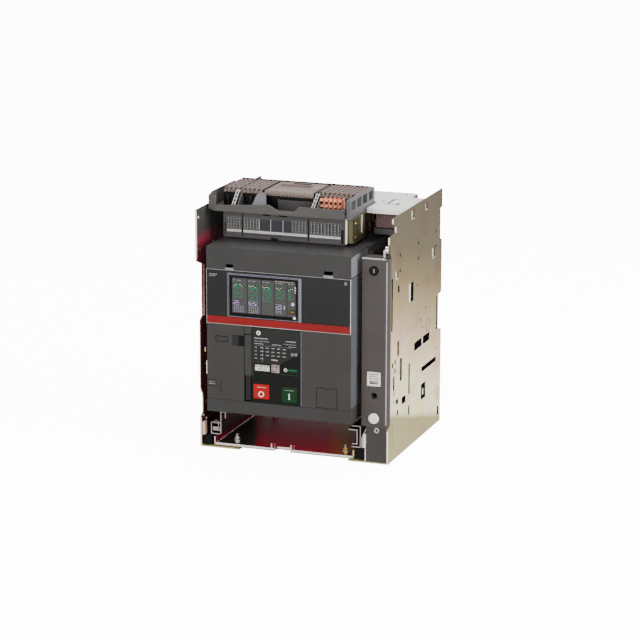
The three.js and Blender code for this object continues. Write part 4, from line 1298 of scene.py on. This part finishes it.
def plate_front_edges():
    """Painted highlights along the front edges of the plates, with a painted shadow strip beside the left
    one's edge.
    """
    left, right = PLATE_L[0].x, PLATE_R[1].x
    y = PLATE_L[0].y
    # Near-white strips on the front edges and notches: painted highlights.
    rows = [(left - 0.2, left + 2.6, y - 0.25, y, 272, 341),
            (left - 0.2, left + 2.4, -108.8, -108.5, 2, 42),
            (right - 2.1, right + 0.1, -108.8, -108.5, 310, 320),
            (right - 2.1, right + 0.1, -108.8, -108.5, 2, 48),
            (right - 2.1, right + 0.1, -79.8, -79.5, 322, 330),
            (right - 2.1, right + 0.1, -92.3, -92, 336, 343)]
    boxes("plate_edge_highlights", rows, "cut_edge", bevel=0.1)
    # Beside the left plate's front edge: a wine strip of painted shadow and a pale strip of painted
    # highlight.
    for name, mat, x0, x1 in (("shaded", "wine", left + 0.8, left + 2.2),
                              ("pale", "zinc_pale_and_highlight", left - 0.1, left + 0.8)):
        rows = [(x0, x1, -108.8, -108.5, 84, 183), (x0, x1, -100.8, -100.5, 190, 261)]
        boxes(f"plate_{name}_edges", rows, mat, "cradle", bevel=0.1)


def cross_plate_details():
    """Dark lines on the cross plate that paint the shaded outlines of its slots, its hem, and the flat cover
    behind it.
    """
    low, high = place("cross_plate")
    top = high.z
    # Dark lines on the plate's top: painted shade of the slot outlines.
    slots = [(92, 112, 9, 11.5), (95, 98, 14, 46), (98, 112, 44, 46), (108, 113, 12, 20), (82, 88, 27, 31)]
    boxes("cross_plate_slot_shade", [(x0, x1, y0, y1, top, top + 0.12) for x0, x1, y0, y1 in slots], "casing",
          "cradle")
    base = place("rear_base")
    boxes("top_cover", [(base[0].x + 1, base[1].x - 1, high.y + 0.3, base[1].y - 0.5, base[1].z,
                         base[1].z + 2)], "zinc_pale_and_highlight", bevel=0.3)
    boxes("cross_plate_hem", [(78, high.x - 0.2, -23.7, -23.4, low.z - 5, top)], "zinc_pale_and_highlight", bevel=0.1)


def rear_base_top():
    """The ribbed rear moulding that shows between the breaker and the cross plate."""
    low, high = place("rear_base")
    bm = bmesh.new()
    for i in range(28):
        x = low.x + 6 + i * 7.6
        add_box(bm, x, x + 3.2, low.y - 1.2, low.y + 0.1, 262, high.z - 4)
    for z in (268, 286, 304, 322):
        add_box(bm, low.x + 3, high.x - 3, low.y - 1.6, low.y, z, z + 2.4)
    finish_mesh("rear_base_ribs", bm, "mottled", bevel=0.3)
    boxes("carrier_wall", [(77.5, 136, 18, 20.4, 298, 338)], "mottled", bevel=0.3)
    cells = [(79 + 5.6 * i, 82 + 5.6 * i, 17.6, 18, z, z + 4) for i in range(10) for z in (325, 332)]
    boxes("carrier_cells", cells, "peach", bevel=0.1)
    boxes("carrier_foot", [(77.5, 136, 8, 18, 298, 306)], "socket", bevel=0.6)
    boxes("bracket_rear_tab", [(74.5, 76.5, 2, 44, 316, 335), (66, 76.5, 2, 4, 316, 335)], "zinc_olive",
          bevel=0.3)


# ---------------------------------------------------------------- bottom of the cradle

def pan_edges():
    """Tinted inside of the pan's left rim, painted shade on the tabs, and a painted shade line under a
    painted highlight line along its front edge.
    """
    left = FLOOR_PAN[0].x + 2
    boxes("pan_rim_tint", [(left - 0.1, left + 0.12, -103.6, 124.6, 6, 14.8)], "crimson")
    front = FLOOR_PAN[0].y
    boxes("pan_tab_shade", [(x + 2.2, x + 6.05, front - 0.12, front, 6.3, 13.05) for x in (-35, -6)],
          "crimson")
    lines = ((-117, -29, front), (-29, -6, front + 9), (-6, 85, front))
    boxes("pan_front_shade", [(x0, x1, y - 0.12, y + 0.1, 2.25, 3.3) for x0, x1, y in lines], "rail_dark_and_edge_shade")
    # Pale line on the front edge: painted highlight.
    boxes("pan_front_lip_highlight", [(x0, x1, y - 0.06, y + 1, 4.3, 6.2) for x0, x1, y in lines], "zinc_pale_and_highlight")


def floor_fasteners():
    """Studs with hexagon nuts that hold the floor pan down."""
    nuts, left_nuts, studs, washers = bmesh.new(), bmesh.new(), bmesh.new(), bmesh.new()
    for x, y in ((-88, -96), (73, -96), (-88, 60), (73, 48)):
        add_ring(washers, "Z", (x, y, 5.0), 5.6, 2.4, 1.2, 24)
        pair = left_nuts if x < 0 else nuts
        add_rod(pair, "Z", (x, y, 8.4), 4.6, 5.0, 6)
        add_ring(washers, "Z", (x, y, 11.6), 5.0, 2.4, 1.0, 24)
        add_rod(pair, "Z", (x, y, 14.2), 3.6, 3.6, 6)
        add_rod(studs, "Z", (x, y, 12), 2.2, 15, 16)
        for i in range(5):
            add_ring(studs, "Z", (x, y, 16.6 + i * 0.8), 2.4, 1.9, 0.35, 16)
    finish_mesh("floor_nuts", nuts, "brass", bevel=0.2)
    finish_mesh("floor_nuts_left", left_nuts, "nickel", bevel=0.2)
    finish_mesh("floor_studs", studs, "steel")
    finish_mesh("floor_washers", washers, "nickel", bevel=0.15)


def rail_details():
    """Edges, guides and the wire catch of the left rail; latch and pads of the right one."""
    y = -107.0
    wire = [(-123.5, y, 33.5), (-121, y, 36.4), (-114, y - 1.5, 40), (-111.5, y - 1.5, 38),
            (-111.5, y - 1.5, 26)]
    tube("rail_wire_catch", wire, 0.7, "steel", "cradle")
    guides = [(-135.8, -133.4, -107, 20, 44, 47), (-131.5, -129.2, -107, 20, 40.5, 43)]
    boxes("left_rail_guides", guides, "rail", bevel=0.3)
    boxes("left_rail_pad", [(-136.4, -132.6, -107.5, -98, 17, 36)], "peach", "cradle",
          bevel=0.5)
    boxes("left_rail_block", [(-136.2, -124, -104, -86, 2.6, 16.5)], "jet", "cradle",
          bevel=0.4)
    boxes("right_rail_block", [(89.2, 104.8, -103.5, -78, 2.8, 17.6)], "jet", "cradle",
          bevel=0.5)
    boxes("right_rail_latch", [(99.2, 105.6, -106.5, -90, 20, 36)], "nickel", bevel=0.8)
    bm = bmesh.new()
    add_prism(bm, "XZ", [(99.4, 36), (101.4, 35), (106.6, 47), (105, 48.4)], -105, -103)
    finish_mesh("right_rail_lever", bm, "rail", "cradle", bevel=0.4)
    boxes("right_rail_strip", [(102.6, 106.4, -107.6, -106.6, 21, 41)], "label", bevel=0.3)
    # Near-white strip on the foot's front edge: painted highlight.
    boxes("right_foot_edge_highlight", [(105.2, 106.6, -108.2, -106.8, 2.4, 20.4)], "cut_edge", bevel=0.2)


def pillar_foot():
    """The darker lower end of the pillar, under the step in its edge."""
    boxes("pillar_foot_face", [(107.1, 136.8, PILLAR.y - 0.25, PILLAR.y, 2.6, 44),
                               (107.1, 134.6, PILLAR.y - 0.2, PILLAR.y, 44, 52)], "pillar_dark", bevel=0.08)
    # Lighter strip on the pillar's right edge: painted highlight.
    boxes("pillar_side_light", [(134.6, 136.2, PILLAR.y - 0.02, PILLAR.y + 0.1, 56, 286)], "pillar_edge")
    boxes("pillar_top_lip", [(99.6, 134, PILLAR.y - 0.25, PILLAR.y + 1.2, 288.8, 290.4)], "pale", "cradle",
          bevel=0.2)
    bm = bmesh.new()
    add_lathe(bm, "X", (131.5, -101, 301), [(5.6, 0), (5.6, 5), (4.4, 5.6), (1.6, 5.7)], 28)
    add_box(bm, 128.5, 131.5, -103.5, -98.5, 290.3, 301)
    finish_mesh("insertion_roller", bm, "nickel", bevel=0.4)


def build_cradle():
    plate_window_shade()
    plate_plug()
    plate_window_highlights()
    plate_rivets()
    plate_front_edges()
    cross_plate_details()
    rear_base_top()
    pan_edges()
    floor_fasteners()
    rail_details()
    pillar_foot()


build_cradle()


# ---------------------------------------------------------------- rear of the cradle and of the breaker

REAR = place("rear_base")[1].y            # back face of the rear moulding
BREAKER_REAR = BASE[1].y
JAWS = [f"{row}_jaw_{i}" for row in ("upper", "lower") for i in (1, 2, 3)]
PADS = [f"{row}_terminal_{i}" for row in ("upper", "lower") for i in (1, 2, 3)]


def rear_frames():
    """Raised collars round the main terminals and ribs between the poles."""
    low, high = place("rear_base")
    collars, ribs = bmesh.new(), bmesh.new()
    for node in PADS:
        a, b = place(node)
        add_frame(collars, a.x - 4, b.x + 4, a.z - 4, b.z + 4, 3, REAR - 0.5, REAR + 5)
    for k in range(4):
        x = min(max(POLES[0] + (k - 0.5) * POLE_PITCH, low.x + 2), high.x - 2)
        add_box(ribs, x - 1.6, x + 1.6, REAR - 0.5, REAR + 14, 66, 304)
    for z in (50, 172, 318):
        add_box(ribs, low.x + 4, high.x - 4, REAR - 0.5, REAR + 2.4, z - 1.5, z + 1.5)
    for x in range(-100, 101, 20):
        for z0, z1 in ((306, 316.5), (51.5, 62)):
            add_box(ribs, x - 1, x + 1, REAR - 0.5, REAR + 2.0, z0, z1)
    finish_mesh("terminal_collars", collars, "brown", bevel=0.6)
    finish_mesh("phase_ribs", ribs, "brown", bevel=0.5)


def screws(name, axis, places, radius, sign=1, mat="nickel", body="cradle"):
    """Cross-recessed pan heads standing on a face; sign is the way they look along the axis."""
    heads, recesses = bmesh.new(), bmesh.new()
    for x, y, z in places:
        profile = [(radius, -0.4), (radius, 0.7), (radius * 0.8, 1.3), (radius * 0.35, 1.5)]
        rod = {"X": (1, 0, 0), "Y": (0, 1, 0), "Z": (0, 0, 1)}[axis]
        direction = -sign if axis == "Y" else sign
        add_lathe(heads, axis, (x, y, z), [(r, h * direction) for r, h in profile], 20)
        top = [c + sign * d * 1.5 for c, d in zip((x, y, z), rod)]
        for turn in (0, 1):
            size = [0.12 if d else (radius * 0.5 if (i % 2) == turn else 0.35) for i, d in enumerate(rod)]
            if axis == "Y":
                size = [radius * 0.5 if turn else 0.35, 0.12, 0.35 if turn else radius * 0.5]
            corners = [value for c, s in zip(top, size) for value in (c - s, c + s)]
            add_box(recesses, *corners)
    finish_mesh(name, heads, mat, body)
    finish_mesh(name + "_recesses", recesses, "jet", body)


def rear_screws():
    """Screws on the back and on the top cover of the rear moulding."""
    low, high = place("rear_base")
    spots = [(x, REAR, z) for x in (low.x + 9, -2, high.x - 9) for z in (46, 312, 329)]
    screws("rear_screws", "Y", spots, 3.4)
    top = [(x, y, high.z + 2) for x in (low.x + 10, -2, high.x - 10) for y in (74, 104)]
    screws("rear_top_screws", "Z", top, 3.2)


def pad_details():
    """Silvered pads: countersunk rims round the bolt holes and the ends of the two pole screws."""
    rims = bmesh.new()
    for node in PADS:
        x, z = middle(node).xz
        for dz in (-16, 16):
            add_ring(rims, "Y", (x, place(node)[1].y - 0.02, z + dz), 7.2, 5.5, 0.16, 32)
    finish_mesh("pad_hole_rims", rims, "nickel", "cradle")
    heads = [(middle(n).x + dx, place(n)[1].y - 0.9, middle(n).z) for n in PADS for dx in (-10, 10)]
    screws("pad_screws", "Y", heads, 2.6)


def shutter_details():
    """Guides at both ends of the shutters and stiffening beads on them."""
    low, high = place("upper_shutter")
    ends = ((low.x - 4, low.x - 0.5), (high.x + 0.5, high.x + 4))
    guides = [(x0, x1, 50, 58.6, 92, 262) for x0, x1 in ends]
    boxes("shutter_guides", guides, "zinc_pale_and_highlight", bevel=0.4)
    for body, front, rows in (("upper_shutter", low.y, (150, 158, 166, 242)),
                              ("lower_shutter", place("lower_shutter")[0].y, (102, 172, 182, 192))):
        beads = [(low.x + 6, high.x - 6, front - 0.3, front + 0.1, z - 1, z + 1) for z in rows]
        boxes(body + "_beads", beads, "wine", body, bevel=0.12)


def jaw_details():
    """Contact fingers parted by slits, pressed together by a coil spring above and below."""
    slits, springs = bmesh.new(), bmesh.new()
    for node in JAWS:
        a, b = place(node)
        for k in range(1, 7):
            x = a.x + 0.5 + k * (b.x - a.x - 1) / 7
            for z in (a.z, b.z):
                add_box(slits, x - 0.5, x + 0.5, BREAKER_REAR + 3, b.y + 0.04, z - 0.06, z + 0.06)
        for z in (a.z, b.z):
            for y in (50, 72):
                for k in range(18):
                    x = a.x + 1.5 + k * 1.65
                    add_ring(springs, "X", (x, y, z), 1.6, 0.6, 0.9, 10)
    finish_mesh("finger_slits", slits, "jet", "breaker")
    finish_mesh("finger_springs", springs, "steel", "breaker")


def breaker_rear():
    """Ribs between the poles, shrouds round the jaws and screws on the back of the breaker."""
    low, high = BASE
    shrouds, ribs = bmesh.new(), bmesh.new()
    for node in JAWS:
        a, b = place(node)
        add_frame(shrouds, a.x - 3.5, b.x + 3.5, a.z - 3.5, b.z + 3.5, 2.6, high.y - 0.4, high.y + 4)
    for k in range(4):
        x = min(max(POLES[0] + (k - 0.5) * POLE_PITCH, low.x + 1.6), high.x - 1.6)
        add_box(ribs, x - 1.4, x + 1.4, high.y - 0.4, high.y + 8, 84, 280)
    for x in POLES:
        for z in (88, 168, 176, 256, 264, 272):
            add_box(ribs, x - 26, x + 26, high.y - 0.4, high.y + 1.6, z - 1, z + 1)
    finish_mesh("jaw_shrouds", shrouds, "brown", "breaker", bevel=0.5)
    finish_mesh("breaker_rear_ribs", ribs, "casing", "breaker", bevel=0.4)
    spots = [(x, high.y, z) for x in (low.x + 7, high.x - 7) for z in (70, 286)]
    screws("breaker_rear_screws", "Y", spots, 3.0, body="breaker")


def arc_chutes():
    """Vent grids of the three arc chutes in the top of the breaker."""
    top = BASE[1].z
    frames, vents = bmesh.new(), bmesh.new()
    for x in POLES:
        add_box(vents, x - 26, x + 26, -46, 26, top - 0.2, top + 0.1)
        for k in range(9):
            y = -46 + k * 9
            add_box(frames, x - 26, x + 26, y - 1.4, y + 1.4, top - 0.2, top + 0.8)
        for dx in (-27, 0, 27):
            add_box(frames, x + dx - 1.4, x + dx + 1.4, -47.4, 27.4, top - 0.2, top + 0.8)
    finish_mesh("chute_openings", vents, "jet", "breaker")
    finish_mesh("chute_grids", frames, "casing", "breaker", bevel=0.3)


def breaker_sides():
    """Screws and a dark joint line on both sides of the breaker."""
    for side, x in ((-1, CASE[0].x), (1, CASE[1].x)):
        tag = "left" if side < 0 else "right"
        spots = [(x, y, z) for y in (-48, 26) for z in (74, 284)]
        screws(f"breaker_side_screws_{tag}", "X", spots, 2.8, sign=side, body="breaker")
        inset = x - side * 0.1
        edge = sorted((inset, inset + side * 0.3))
        boxes(f"breaker_side_joint_{tag}", [(*edge, -30, 8, 268, 282)], "jet", "breaker", bevel=0.1)


def closing_spring_coil():
    """The charged spring drawn as its wire."""
    low, high = place("closing_spring")
    x, y = middle("closing_spring").xy
    wire, turns, steps = 1.5, 13, 18
    radius = (high.x - low.x) / 2 - wire
    rise = (high.z - low.z - 2 * wire) / (turns * steps)
    points = []
    for k in range(turns * steps + 1):
        angle = 2 * math.pi * k / steps
        points.append((x + radius * math.cos(angle), y + radius * math.sin(angle), low.z + wire + k * rise))
    coil = tube("closing_spring_wire", points, wire, "steel", "breaker", 1)
    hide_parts("closing_spring")


def build_rear():
    rear_frames()
    rear_screws()
    pad_details()
    shutter_details()
    jaw_details()
    breaker_rear()
    arc_chutes()
    breaker_sides()
    closing_spring_coil()


build_rear()
